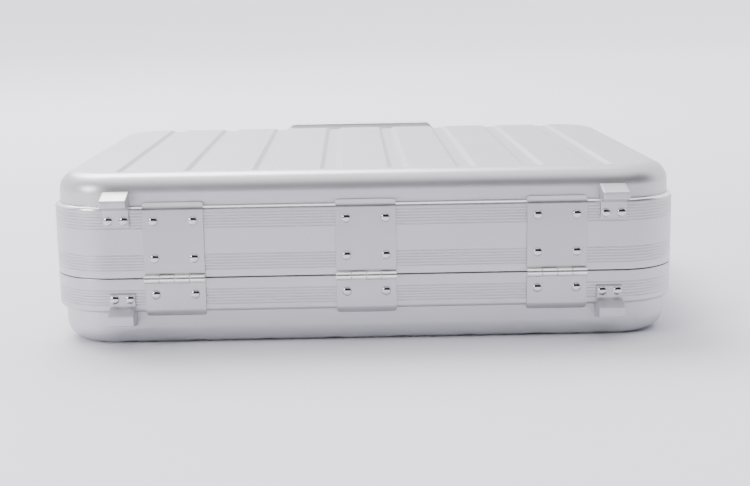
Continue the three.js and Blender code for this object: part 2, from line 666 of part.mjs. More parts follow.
// Chip inserts: one each side with four round-bottomed channels, and one in the middle with a well.
const insertPlan = rounded(2 * TRAY.half, 2 * TRAY.halfY, TRAY.corner);
const channelEnd = TRAY.halfY - TRAY.end;
const aboveDeck = TRAY.deckZ + EXTRA;
function insert(low, high, hollows) {
  const { halfY, floorZ, deckZ } = TRAY;
  const block = slab(insertPlan, floorZ, deckZ).intersect(box(low, high, -halfY, halfY, floorZ, deckZ));
  return cut(block, hollows);
}
function channel(x) {
  const { r, axisZ } = CHANNEL;
  return rodY(r, -channelEnd, channelEnd, x, axisZ, 12).add(
    box(x - r, x + r, -channelEnd, channelEnd, axisZ, aboveDeck),
  );
}
const firstChannel = TRAY.half - CHANNEL.edge - CHANNEL.pitch / 2;
for (const s of [-1, 1]) {
  const centres = Array.from({ length: TRAY_CHANNELS }, (_, i) => s * (firstChannel - i * CHANNEL.pitch));
  const [low, high] = inOrder(s * (TRAY.split + TRAY.gap), s * TRAY.half);
  add("chip_tray_" + sideName(s), insert(low, high, centres.map(channel)), "flock");
}
const { half: wellHalf, floorZ: wellFloor } = TRAY_MIDDLE;
const well = box(-wellHalf, wellHalf, -channelEnd, channelEnd, wellFloor, aboveDeck);
add("chip_tray_middle", insert(-TRAY.split, TRAY.split, [well]), "flock");

// Foam pad and its board in the lid.
const padShape = rounded(2 * PAD.half, 2 * PAD.halfY, PAD.corner);
add("lid_foam", slab(padShape, PAD.low, PAD.high), "foam");
add("lid_board", slab(padShape, PAD.high + FIT, PAD.high + FIT + PAD.board), "board");

export default group;
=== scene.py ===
"""The looks of an all-aluminium poker chip case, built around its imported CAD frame.

The case lies closed on its shallow half. Its hinge side faces +Y and its handle side faces -Y. Every piece is
modelled in place, in metres, and rides on the CAD body that carries it.
"""

import logging
import math
from collections.abc import Callable, Iterable, Sequence
from dataclasses import dataclass, field
from enum import Enum

import bmesh
import bpy
from mathutils import Matrix, Vector


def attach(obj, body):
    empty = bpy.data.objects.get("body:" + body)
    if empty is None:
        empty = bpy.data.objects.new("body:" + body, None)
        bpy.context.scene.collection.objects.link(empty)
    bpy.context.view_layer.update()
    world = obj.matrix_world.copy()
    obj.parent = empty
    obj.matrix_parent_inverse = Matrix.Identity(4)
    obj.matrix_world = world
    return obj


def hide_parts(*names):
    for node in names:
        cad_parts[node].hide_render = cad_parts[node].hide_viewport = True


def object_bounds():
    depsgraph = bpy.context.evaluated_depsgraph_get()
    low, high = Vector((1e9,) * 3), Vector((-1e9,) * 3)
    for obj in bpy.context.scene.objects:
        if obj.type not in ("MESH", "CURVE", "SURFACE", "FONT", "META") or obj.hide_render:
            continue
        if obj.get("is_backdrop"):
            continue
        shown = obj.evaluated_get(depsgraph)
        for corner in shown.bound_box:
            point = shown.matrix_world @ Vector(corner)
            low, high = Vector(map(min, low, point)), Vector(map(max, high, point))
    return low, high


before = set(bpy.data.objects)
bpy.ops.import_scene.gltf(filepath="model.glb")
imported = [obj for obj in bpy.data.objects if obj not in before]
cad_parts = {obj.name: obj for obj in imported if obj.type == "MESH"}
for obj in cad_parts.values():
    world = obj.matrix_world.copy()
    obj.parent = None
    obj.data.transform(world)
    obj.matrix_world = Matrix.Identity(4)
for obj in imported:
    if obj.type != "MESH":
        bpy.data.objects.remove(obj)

log = logging.getLogger("chip_case")
MM = 0.001
Point = tuple[float, float]
Rule = Callable[[Vector, Vector], bool]
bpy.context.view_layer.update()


class Part(Enum):
    """What an edit-mode selection is made of."""

    VERTS = "VERT"
    EDGES = "EDGE"
    FACES = "FACE"


class Slot(Enum):
    """The record's material slots."""

    SHELL = "pressed_shell"
    FRAME = "extruded_frame"
    HINGE = "hinge_plate"
    FOOT = "foot_casting"
    RIVET = "polished_rivet"
    HANDLE = "handle_alloy"
    PAD = "handle_pad"
    LATCH = "nickel_latch"
    STAY = "zinc_stay"
    TRAY = "flocked_tray"
    FOAM = "lid_foam"
    BOARD = "lid_board"


# ---------------------------------------------------------------- shader expressions


class Wire:
    """One output socket of a node tree. Arithmetic on it adds Math nodes."""

    def __init__(self, tree: bpy.types.NodeTree, socket: bpy.types.NodeSocket) -> None:
        """Wraps a socket of a tree."""
        self.tree = tree
        self.socket = socket

    def _math(self, operation: str, first: "Wire | float", second: "Wire | float") -> "Wire":
        """Adds a Math node.

        Args:
            operation: the node's operation, such as MULTIPLY.
            first: its first operand.
            second: its second operand.

        Returns:
            The node's value.
        """
        node = self.tree.nodes.new("ShaderNodeMath")
        node.operation = operation
        for socket, value in zip(node.inputs, (first, second)):
            if isinstance(value, Wire):
                self.tree.links.new(value.socket, socket)
            else:
                socket.default_value = value
        return Wire(self.tree, node.outputs[0])

    def __add__(self, other: "Wire | float") -> "Wire":
        """self + other."""
        return self._math("ADD", self, other)

    def __radd__(self, other: float) -> "Wire":
        """other + self."""
        return self._math("ADD", other, self)

    def __sub__(self, other: "Wire | float") -> "Wire":
        """self - other."""
        return self._math("SUBTRACT", self, other)

    def __rsub__(self, other: float) -> "Wire":
        """other - self."""
        return self._math("SUBTRACT", other, self)

    def __mul__(self, other: "Wire | float") -> "Wire":
        """self * other."""
        return self._math("MULTIPLY", self, other)

    def __rmul__(self, other: float) -> "Wire":
        """other * self."""
        return self._math("MULTIPLY", other, self)

    def above(self, limit: float) -> "Wire":
        """1 where the value is over a limit, and 0 elsewhere."""
        return self._math("GREATER_THAN", self, limit)


class Recipe:
    """A node tree being written, for a material or the world."""

    def __init__(self, tree: bpy.types.NodeTree) -> None:
        """Clears a tree and starts writing in it."""
        tree.nodes.clear()
        self.tree = tree

    def node(
        self,
        kind: str,
        settings: dict[str, object] | None = None,
        values: dict[str, object] | None = None,
        out: int | str = 0,
    ) -> Wire:
        """Adds one node of any type.

        Args:
            kind: the node's type without its ShaderNode prefix.
            settings: the node's own properties, or "stops" for a ramp's stops.
            values: what its inputs hold, by name or number: a number, a colour or a Wire.
            out: the output that is returned, by name or number.

        Returns:
            That output.
        """
        made = self.tree.nodes.new("ShaderNode" + kind)
        for name, value in (settings or {}).items():
            if name == "stops":
                self._set_stops(made.color_ramp, value)
            else:
                setattr(made, name, value)
        for name, value in (values or {}).items():
            if isinstance(value, Wire):
                self.tree.links.new(value.socket, made.inputs[name])
            else:
                made.inputs[name].default_value = value
        return Wire(self.tree, made.outputs[out])

    @staticmethod
    def _set_stops(ramp: bpy.types.ColorRamp, stops: Sequence[tuple[float, Sequence[float]]]) -> None:
        """Gives a ramp its stops, each a position and a colour."""
        while len(ramp.elements) < len(stops):
            ramp.elements.new(0.5)
        for element, (place, colour) in zip(ramp.elements, stops):
            element.position = place
            element.color = (*colour, 1.0)

    def place(self, stretch: Sequence[float] = (1.0, 1.0, 1.0)) -> Wire:
        """The Object coordinates, stretched along each axis."""
        where = self.node("TexCoord", out="Object")
        return self.node("Mapping", values={"Vector": where, "Scale": tuple(stretch)})

    def noise(self, where: Wire, scale: float, detail: float = 2.0, roughness: float = 0.5) -> Wire:
        """A noise value from 0 to 1 at a place."""
        values = {"Vector": where, "Scale": scale, "Detail": detail, "Roughness": roughness}
        return self.node("TexNoise", values=values, out=0)

    def ramp(self, factor: Wire, stops: Sequence[tuple[float, Sequence[float]]]) -> Wire:
        """A colour looked up from a value."""
        return self.node("ValToRGB", {"stops": stops}, {"Fac": factor})

    def blend(self, factor: "Wire | float", first: object, second: object) -> Wire:
        """A colour between two others."""
        made = self.tree.nodes.new("ShaderNodeMix")
        made.data_type = "RGBA"
        for index, value in ((0, factor), (6, first), (7, second)):
            if isinstance(value, Wire):
                self.tree.links.new(value.socket, made.inputs[index])
            else:
                made.inputs[index].default_value = value if index == 0 else (*value, 1.0)
        return Wire(self.tree, made.outputs[2])

    def bump(self, height: Wire, depth: float, strength: float = 1.0) -> Wire:
        """A normal from a height, whose full range is depth metres."""
        values = {"Height": height, "Distance": depth, "Strength": strength}
        return self.node("Bump", values=values, out="Normal")

    def surface(self, values: dict[str, object]) -> None:
        """Ends a material with one Principled surface."""
        shader = self.node("BsdfPrincipled", values=values)
        output = self.tree.nodes.new("ShaderNodeOutputMaterial")
        self.tree.links.new(shader.socket, output.inputs["Surface"])


# ---------------------------------------------------------------- finishes


@dataclass(frozen=True)
class SatinMetal:
    """Bead-blasted or drawn aluminium with a clear anodised skin.

    colour is its mean colour, spread how far blotches move it, rough its mean roughness, grain the size of
    the blasted pits in metres, drawn how much finer the grain is across the height than along the length,
    and relief the depth of the grain. The last field gives a mask of where a highlight is painted on: there
    the colour is blended toward pale grey, and the roughness is lowered.
    """

    name: str
    slot: Slot
    colour: tuple[float, float, float]
    spread: float = 0.03
    rough: float = 0.4
    grain: float = 0.0007
    drawn: float = 1.0
    relief: float = 0.00001
    metal: float = 0.9
    painted_highlight: Callable[[Recipe], Wire] | None = None

    def build(self) -> bpy.types.Material:
        """Writes the material.

        Returns:
            The material.
        """
        material = bpy.data.materials.new(self.name)
        material.use_nodes = True
        recipe = Recipe(material.node_tree)
        where = recipe.place((1.0, 1.0, self.drawn))
        pits = recipe.noise(where, 1.0 / self.grain, 3.0, 0.6)
        clouds = recipe.noise(recipe.place(), 9.0, 4.0, 0.55)
        smears = recipe.noise(recipe.place((1.0, 0.35, 1.0)), 38.0, 5.0, 0.65)
        low = tuple(c * (1.0 - self.spread) for c in self.colour)
        high = tuple(min(1.0, c * (1.0 + self.spread)) for c in self.colour)
        tint = recipe.ramp(clouds * 0.7 + pits * 0.3, [(0.3, low), (0.7, high)])
        rough = (self.rough - 0.06) + smears * 0.08 + pits * 0.04
        # Painted highlight: where the mask is 1, the colour is blended toward pale grey; the roughness is
        # lowered there too.
        if self.painted_highlight is not None:
            mask = self.painted_highlight(recipe)
            tint = recipe.blend(mask, tint, (0.93, 0.925, 0.92))
            rough = rough - mask * 0.12
        recipe.surface(
            {
                "Base Color": tint,
                "Metallic": self.metal,
                "Roughness": rough,
                "Normal": recipe.bump(pits, self.relief),
            }
        )
        return material


@dataclass(frozen=True)
class PolishedSteel:
    """Bright plated or polished steel, with faint swirls and a few fine scratches."""

    name: str
    slot: Slot
    colour: tuple[float, float, float]
    rough: float = 0.1
    scratch: float = 0.000004

    def build(self) -> bpy.types.Material:
        """Writes the material.

        Returns:
            The material.
        """
        material = bpy.data.materials.new(self.name)
        material.use_nodes = True
        recipe = Recipe(material.node_tree)
        swirls = recipe.noise(recipe.place((1.0, 1.0, 1.0)), 260.0, 4.0, 0.7)
        lines = recipe.noise(recipe.place((0.06, 1.0, 1.0)), 2600.0, 2.0, 0.5)
        dull = tuple(c * 0.93 for c in self.colour)
        recipe.surface(
            {
                "Base Color": recipe.ramp(swirls, [(0.35, dull), (0.65, self.colour)]),
                "Metallic": 1.0,
                "Roughness": self.rough * 0.7 + swirls * (self.rough * 0.6),
                "Normal": recipe.bump(lines, self.scratch),
            }
        )
        return material


@dataclass(frozen=True)
class Pile:
    """A soft matt surface: flock, foam or fabric board.

    hair is the size of its tufts in metres, depth their height, and cells adds open pores.
    """

    name: str
    slot: Slot
    colour: tuple[float, float, float]
    hair: float = 0.0006
    depth: float = 0.0003
    cells: bool = False

    def build(self) -> bpy.types.Material:
        """Writes the material.

        Returns:
            The material.
        """
        material = bpy.data.materials.new(self.name)
        material.use_nodes = True
        recipe = Recipe(material.node_tree)
        tufts = recipe.noise(recipe.place(), 1.0 / self.hair, 3.0, 0.7)
        patches = recipe.noise(recipe.place(), 22.0, 3.0, 0.5)
        height = tufts
        if self.cells:
            pores = recipe.node(
                "TexVoronoi", values={"Vector": recipe.place(), "Scale": 0.55 / self.hair}, out="Distance"
            )
            height = tufts * 0.4 + pores * 0.6
        dark = tuple(c * 0.6 for c in self.colour)
        light = tuple(c * 1.45 for c in self.colour)
        recipe.surface(
            {
                "Base Color": recipe.ramp(height * 0.6 + patches * 0.4, [(0.3, dark), (0.7, light)]),
                "Roughness": 0.92,
                "Sheen Weight": 0.35,
                "Sheen Roughness": 0.5,
                "Specular IOR Level": 0.2,
                "Normal": recipe.bump(height, self.depth),
            }
        )
        return material


@dataclass(frozen=True)
class MouldedRubber:
    """Soft moulded rubber with a fine leathery texture."""

    name: str
    slot: Slot
    colour: tuple[float, float, float]

    def build(self) -> bpy.types.Material:
        """Writes the material.

        Returns:
            The material.
        """
        material = bpy.data.materials.new(self.name)
        material.use_nodes = True
        recipe = Recipe(material.node_tree)
        leather = recipe.node(
            "TexVoronoi", values={"Vector": recipe.place(), "Scale": 1100.0}, out="Distance"
        )
        dust = recipe.noise(recipe.place(), 60.0, 4.0, 0.6)
        light = tuple(c * 1.8 for c in self.colour)
        recipe.surface(
            {
                "Base Color": recipe.ramp(dust, [(0.4, self.colour), (0.8, light)]),
                "Roughness": 0.5 + dust * 0.25,
                "Normal": recipe.bump(leather, 0.00008),
            }
        )
        return material


def rim_highlight_mask(recipe: Recipe) -> Wire:
    """1 on the lid frame's rounded rim, where a highlight is painted, and 0 below it."""
    height = recipe.node("SeparateXYZ", values={"Vector": recipe.place()}, out=2)
    return height.above(0.1005)


def barrel_highlight_mask(recipe: Recipe) -> Wire:
    """1 close round the hinges' axis, where a highlight is painted on the knuckles."""
    where = recipe.node("Mapping", values={"Vector": recipe.place(), "Location": (0.0, -0.176, -0.0506)})
    flat = recipe.node("VectorMath", {"operation": "MULTIPLY"}, {0: where, 1: (0.0, 1.0, 1.0)})
    reach = recipe.node("VectorMath", {"operation": "LENGTH"}, {0: flat}, out="Value")
    return 1.0 - reach.above(0.0034)


Finish = SatinMetal | PolishedSteel | Pile | MouldedRubber

SHELL_SKIN = SatinMetal("shell_satin_aluminium", Slot.SHELL, (0.60, 0.60, 0.625), rough=0.42)
FRAME_SKIN = SatinMetal(
    "frame_drawn_aluminium",
    Slot.FRAME,
    (0.56, 0.56, 0.585),
    rough=0.36,
    grain=0.002,
    drawn=14.0,
    # Painted highlight along the top of the lid frame's rounded rim.
    painted_highlight=rim_highlight_mask,
)
HINGE_SKIN = SatinMetal(
    "hinge_satin_plate",
    Slot.HINGE,
    (0.52, 0.515, 0.53),
    rough=0.34,
    grain=0.0005,
    # Painted highlight on the hinge knuckles round the pin.
    painted_highlight=barrel_highlight_mask,
)
FOOT_SKIN = SatinMetal("foot_cast_alloy", Slot.FOOT, (0.58, 0.575, 0.595), rough=0.4, relief=0.00002)
HANDLE_SKIN = SatinMetal("handle_satin_alloy", Slot.HANDLE, (0.74, 0.74, 0.76), rough=0.36)
RIVET_SKIN = PolishedSteel("rivet_polished_steel", Slot.RIVET, (0.62, 0.62, 0.63), rough=0.07)
LATCH_SKIN = PolishedSteel("latch_nickel_plate", Slot.LATCH, (0.78, 0.77, 0.76), rough=0.2)
STAY_SKIN = PolishedSteel("stay_zinc_plate", Slot.STAY, (0.62, 0.64, 0.67), rough=0.28)
PAD_SKIN = MouldedRubber("handle_pad_rubber", Slot.PAD, (0.02, 0.02, 0.022))
TRAY_SKIN = Pile("tray_black_flock", Slot.TRAY, (0.018, 0.018, 0.021))
FOAM_SKIN = Pile("lid_grey_foam", Slot.FOAM, (0.05, 0.05, 0.056), hair=0.0011, depth=0.0005, cells=True)
BOARD_SKIN = Pile("lid_board_cloth", Slot.BOARD, (0.03, 0.03, 0.034))


# ---------------------------------------------------------------- modelling with operators


def mm(*values: float) -> Vector:
    """A point or step given in millimetres."""
    return Vector(values) * MM


class Shape:
    """One mesh object being modelled in edit mode. Its places and sizes are in metres."""

    def __init__(self, name: str) -> None:
        """Takes over the object that a primitive operator has just made, and opens it in edit mode."""
        self.node = name
        self.object = bpy.context.active_object
        self.object.name = "look_" + name
        self.object.data.name = self.object.name
        bpy.ops.object.mode_set(mode="EDIT")
        bpy.ops.mesh.select_all(action="SELECT")

    @staticmethod
    def _clear() -> None:
        """Deselects everything before a primitive is added."""
        if bpy.context.mode != "OBJECT":
            bpy.ops.object.mode_set(mode="OBJECT")
        bpy.ops.object.select_all(action="DESELECT")

    @classmethod
    def block(cls, name: str, low: Vector, high: Vector) -> "Shape":
        """Starts from a block between two corners.

        Args:
            name: the object's name.
            low: its lowest corner.
            high: its highest corner.

        Returns:
            The shape.
        """
        cls._clear()
        bpy.ops.mesh.primitive_cube_add(size=1.0)
        shape = cls(name)
        bpy.ops.transform.resize(value=high - low, center_override=(0, 0, 0))
        bpy.ops.transform.translate(value=(low + high) / 2)
        return shape

    @classmethod
    def rod(cls, name: str, radius: float, start: Vector, end: Vector, sides: int = 32) -> "Shape":
        """Starts from a round rod between two points.

        Args:
            name: the object's name.
            radius: the rod's radius.
            start: the middle of one end.
            end: the middle of the other end.
            sides: how many faces go round it.

        Returns:
            The shape.
        """
        cls._clear()
        span = end - start
        turn = span.to_track_quat("Z", "Y").to_euler()
        bpy.ops.mesh.primitive_cylinder_add(
            vertices=sides, radius=radius, depth=span.length, location=(start + end) / 2, rotation=turn
        )
        bpy.ops.object.transform_apply(location=True, rotation=True, scale=True)
        return cls(name)

    @classmethod
    def line(cls, name: str, points: Sequence[Vector], closed: bool = False) -> "Shape":
        """Draws a line of edges from point to point by extruding one vertex.

        Args:
            name: the object's name.
            points: the points along the line.
            closed: True to join the last point to the first.

        Returns:
            The shape, with its whole line selected.
        """
        cls._clear()
        bpy.ops.mesh.primitive_plane_add(size=1.0)
        shape = cls(name)
        bpy.ops.mesh.select_mode(type="VERT")
        bpy.ops.mesh.select_all(action="SELECT")
        bpy.ops.mesh.merge(type="CENTER")
        bpy.ops.transform.translate(value=points[0])
        for before, after in zip(points, points[1:]):
            bpy.ops.mesh.extrude_vertices_move(TRANSFORM_OT_translate={"value": after - before})
        if closed:
            ends = (points[0], points[-1])
            shape.select(Part.VERTS, lambda p, _: min((p - e).length for e in ends) < 1e-6)
            bpy.ops.mesh.edge_face_add()
        bpy.ops.mesh.select_all(action="SELECT")
        return shape

    def select(self, part: Part, rule: Rule) -> "Shape":
        """Selects elements by place and direction.

        Args:
            part: verts, edges or faces.
            rule: says if an element is wanted, from its middle and its direction. That is an edge's own
                direction, and the normal of a vertex or a face.

        Returns:
            The shape.
        """
        bpy.ops.mesh.select_mode(type=part.value)
        bpy.ops.mesh.select_all(action="DESELECT")
        mesh = bmesh.from_edit_mesh(self.object.data)
        mesh.normal_update()
        if part is Part.VERTS:
            for vert in mesh.verts:
                vert.select_set(rule(vert.co, vert.normal))
        elif part is Part.EDGES:
            for edge in mesh.edges:
                first, second = edge.verts
                way = (second.co - first.co).normalized()
                edge.select_set(rule((first.co + second.co) / 2, way))
        else:
            for face in mesh.faces:
                face.select_set(rule(face.calc_center_median(), face.normal))
        mesh.select_flush_mode()
        bmesh.update_edit_mesh(self.object.data)
        return self

    def everything(self) -> "Shape":
        """Selects all of the mesh."""
        bpy.ops.mesh.select_all(action="SELECT")
        return self

    def boundary(self, rule: Rule = lambda place, way: True) -> "Shape":
        """Selects the open edges that a rule picks."""
        bpy.ops.mesh.select_mode(type="EDGE")
        bpy.ops.mesh.select_all(action="DESELECT")
        mesh = bmesh.from_edit_mesh(self.object.data)
        for edge in mesh.edges:
            first, second = edge.verts
            way = (second.co - first.co).normalized()
            edge.select_set(len(edge.link_faces) == 1 and rule((first.co + second.co) / 2, way))
        mesh.select_flush_mode()
        bmesh.update_edit_mesh(self.object.data)
        return self

    def extrude(self, step: Vector) -> "Shape":
        """Extrudes the selection by a step and leaves the new part selected."""
        bpy.ops.mesh.extrude_region_move(TRANSFORM_OT_translate={"value": step})
        return self

    def move(self, step: Vector) -> "Shape":
        """Moves the selection by a step."""
        bpy.ops.transform.translate(value=step)
        return self

    def resize(self, factors: Sequence[float], centre: Vector) -> "Shape":
        """Scales the selection about a point."""
        bpy.ops.transform.resize(value=tuple(factors), center_override=tuple(centre))
        return self

    def bevel(self, width: float, segments: int = 3, corners: bool = False) -> "Shape":
        """Rounds the selected edges, or the selected vertices if corners is True."""
        affect = "VERTICES" if corners else "EDGES"
        bpy.ops.mesh.bevel(offset=width, segments=segments, affect=affect, profile=0.5)
        return self

    def delete(self, part: Part) -> "Shape":
        """Deletes the selection."""
        bpy.ops.mesh.delete(type=part.value)
        return self

    def cut(self, point: Vector, normal: Vector, below: bool = False, above: bool = False) -> "Shape":
        """Cuts the whole mesh along a plane.

        Args:
            point: a point on the plane.
            normal: the plane's normal.
            below: True to remove what is behind the plane.
            above: True to remove what is in front of it.

        Returns:
            The shape.
        """
        self.everything()
        bpy.ops.mesh.bisect(plane_co=point, plane_no=normal, clear_inner=below, clear_outer=above)
        return self

    def spin(self, angle: float, steps: int, centre: Vector, axis: Vector) -> "Shape":
        """Spins the selection right-handed about an axis and leaves the end selected."""
        bpy.ops.mesh.spin(angle=-angle, steps=steps, center=centre, axis=axis)
        return self

    def fill(self) -> "Shape":
        """Fills the selected loop with one face."""
        bpy.ops.mesh.edge_face_add()
        return self

    def tidy(self) -> "Shape":
        """Merges doubles and turns every face outward."""
        bpy.ops.mesh.select_mode(type="VERT")
        bpy.ops.mesh.select_all(action="SELECT")
        bpy.ops.mesh.remove_doubles(threshold=1e-6)
        bpy.ops.mesh.normals_make_consistent(inside=False)
        return self

    def flip(self) -> "Shape":
        """Turns every face round."""
        bpy.ops.mesh.select_all(action="SELECT")
        bpy.ops.mesh.flip_normals()
        return self

    def modify(self, kind: str, **settings: object) -> "Shape":
        """Adds a modifier with its settings, and applies it."""
        bpy.ops.object.mode_set(mode="OBJECT")
        modifier = self.object.modifiers.new(kind.lower(), kind)
        for name, value in settings.items():
            setattr(modifier, name, value)
        bpy.ops.object.modifier_apply(modifier=modifier.name)
        bpy.ops.object.mode_set(mode="EDIT")
        return self

    def thicken(self, thickness: float, offset: float = -1.0) -> "Shape":
        """Gives a sheet its thickness: inward of its faces at -1, outward at 1."""
        return self.modify("SOLIDIFY", thickness=thickness, offset=offset, use_even_offset=True)

    def soften(self, width: float, segments: int = 2, angle: float = 35.0) -> "Shape":
        """Rounds every edge that is sharper than an angle in degrees."""
        return self.modify(
            "BEVEL",
            width=width,
            segments=segments,
            limit_method="ANGLE",
            angle_limit=math.radians(angle),
            miter_outer="MITER_ARC",
            use_clamp_overlap=True,
        )

    def union(self, others: Iterable["Shape"]) -> "Shape":
        """Joins other finished shapes to this one as loose parts of the same object."""
        self._clear()
        for other in others:
            other.object.select_set(True)
        self.object.select_set(True)
        bpy.context.view_layer.objects.active = self.object
        bpy.ops.object.join()
        bpy.ops.object.mode_set(mode="EDIT")
        return self

    def close(self) -> "Shape":
        """Leaves edit mode and makes this the only selected object."""
        self._clear()
        self.object.select_set(True)
        bpy.context.view_layer.objects.active = self.object
        return self

    def reopen(self) -> "Shape":
        """Opens the shape in edit mode again."""
        self.close()
        bpy.ops.object.mode_set(mode="EDIT")
        return self

    def copy(self, name: str, step: Vector, mirror: bool = False) -> "Shape":
        """Copies the shape, with its own mesh.

        Args:
            name: the copy's name.
            step: how far the copy is moved.
            mirror: True to mirror it across X = 0 before it moves.

        Returns:
            The copy, open in edit mode.
        """
        self._clear()
        self.object.select_set(True)
        bpy.context.view_layer.objects.active = self.object
        bpy.ops.object.duplicate(linked=False)
        twin = Shape(name)
        if mirror:
            twin.resize((-1.0, 1.0, 1.0), Vector((0, 0, 0)))
            bpy.ops.mesh.flip_normals()
        twin.move(step)
        return twin


@dataclass
class Workshop:
    """Dresses finished shapes and keeps count of them."""

    materials: dict[str, bpy.types.Material] = field(default_factory=dict)
    made: int = 0

    def material(self, finish: Finish) -> bpy.types.Material:
        """The material of a finish, built once."""
        if finish.name not in self.materials:
            self.materials[finish.name] = finish.build()
        return self.materials[finish.name]

    def dress(
        self, shape: Shape, body: str, finish: Finish, smooth: float = 35.0
    ) -> bpy.types.Object:
        """Ends a piece: shading, material, body and the CAD node of the same name that it stands for.

        Args:
            shape: the finished shape.
            body: the CAD body that carries it.
            finish: its finish.
            smooth: edges sharper than this many degrees stay sharp.

        Returns:
            The object.
        """
        piece = shape.close().object
        bpy.ops.object.shade_smooth_by_angle(angle=math.radians(smooth))
        weighted = piece.modifiers.new("weighted", "WEIGHTED_NORMAL")
        weighted.keep_sharp = True
        bpy.ops.object.modifier_apply(modifier=weighted.name)
        piece.data.materials.clear()
        piece.data.materials.append(self.material(finish))
        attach(piece, body)
        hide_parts(shape.node)
        self.made += 1
        log.info("%s on %s: %d faces, %s", piece.name, body, len(piece.data.polygons), finish.name)
        return piece


def arc(centre: Point, radius: float, start: float, end: float, steps: int) -> list[Point]:
    """Points round an arc in millimetres, between two angles in degrees."""
    angles = [math.radians(start + (end - start) * i / steps) for i in range(steps + 1)]
    return [(centre[0] + radius * math.cos(a), centre[1] + radius * math.sin(a)) for a in angles]


def prism(name: str, section: Sequence[Point], low: float, high: float) -> Shape:
    """A solid with one section all along X.

    Args:
        name: the object's name.
        section: its outline, as Y and Z in millimetres.
        low: its low X, in millimetres.
        high: its high X, in millimetres.

    Returns:
        The shape.
    """
    shape = Shape.line(name, [mm(low, y, z) for y, z in section], closed=True)
    shape.fill().extrude(mm(high - low, 0, 0))
    return shape.tidy()


# ---------------------------------------------------------------- the case's main sizes, in millimetres

WIDTH = 456.0
DEPTH = 345.0
CORNER = 45.0
FACE = DEPTH / 2
TOP_Z = 124.7
SEAM_Z = 50.4
SEAM_GAP = 0.4
LOWER_RIM_Z = 25.5
UPPER_RIM_Z = 102.4
LEAF_IN = FACE + 0.3
LEAF = 1.5
AXIS_Y = 176.0
AXIS_Z = 50.6
SIDES = (("left", -1), ("right", 1))


@dataclass
class Pan:
    """A pressed sheet pan with soft lengthwise grooves. Sizes are in millimetres.

    side is 1 for the lid's pan, whose grooves run out over the handle side, and -1 for the base's.
    """

    name: str
    body: str
    side: int
    inset: float
    rim_z: float
    flat_z: float
    sheet: float = 1.2
    edge_round: float = 14.0
    grooves: int = 8
    pitch: float = 49.2
    depth: float = 2.0
    start: float = 25.0
    shoulders: tuple[Point, ...] = (
        (8.0, 0.0),
        (7.3, 0.18),
        (6.5, 0.62),
        (5.7, 1.15),
        (4.9, 1.65),
        (4.0, 2.0),
    )

    def build(self, shop: Workshop) -> None:
        """Models the pan and hands it over."""
        low_z, high_z = sorted((self.rim_z, self.flat_z))
        half_x = WIDTH / 2 - self.inset
        half_y = FACE - self.inset
        corner = CORNER - self.inset
        pan = Shape.block(self.name, mm(-half_x, -half_y, low_z), mm(half_x, half_y, high_z))
        rim = self.rim_z * MM
        flat = self.flat_z * MM
        pan.select(Part.FACES, lambda p, _: abs(p.z - rim) < 1e-5).delete(Part.FACES)
        pan.select(Part.EDGES, lambda _, way: abs(way.z) > 0.99).bevel(corner * MM, 12)
        pan.select(Part.EDGES, lambda p, way: abs(p.z - flat) < 1e-5 and abs(way.z) < 0.01)
        pan.bevel(self.edge_round * MM, 8)
        self._press(pan)
        pan.tidy()
        self._face_out(pan)
        pan.thicken(self.sheet * MM)
        shop.dress(pan, self.body, SHELL_SKIN, smooth=60.0)

    def _face_out(self, pan: Shape) -> None:
        """Turns the open pan's faces outward, whatever the recalculation chose."""
        mesh = bmesh.from_edit_mesh(pan.object.data)
        widest = max(mesh.faces, key=lambda face: face.calc_area() * abs(face.normal.z))
        if widest.normal.z * self.side < 0:
            pan.flip()

    def _press(self, pan: Shape) -> None:
        """Presses the grooves into the flat face."""
        centres = [(i - (self.grooves - 1) / 2) * self.pitch for i in range(self.grooves)]
        closed_y = self.side * (FACE - self.start)
        for centre in centres:
            for reach, _ in self.shoulders:
                pan.cut(mm(centre - reach, 0, 0), Vector((1, 0, 0)))
                pan.cut(mm(centre + reach, 0, 0), Vector((1, 0, 0)))
        first = self.shoulders[-1][0]
        for reach, depth in self.shoulders:
            pan.cut(mm(0, closed_y + self.side * (reach - first), 0), Vector((0, 1, 0)))
            if depth:
                pan.cut(mm(0, 0, self.flat_z - self.side * depth), Vector((0, 0, 1)))
        slack = 0.02
        for reach, depth in self.shoulders[1:]:
            level = self.flat_z - self.side * depth
            end = closed_y + self.side * (reach - first)

            def pressed(
                place: Vector, _: Vector, reach: float = reach, level: float = level, end: float = end
            ) -> bool:
                """True for a point inside this step of a groove."""
                x, y, z = place / MM
                beside = min(abs(x - centre) for centre in centres) <= reach + slack
                return beside and (end - y) * self.side >= -slack and (z - level) * self.side > 0

            pan.select(Part.VERTS, pressed)
            pan.resize((1.0, 1.0, 0.0), mm(0, 0, level))


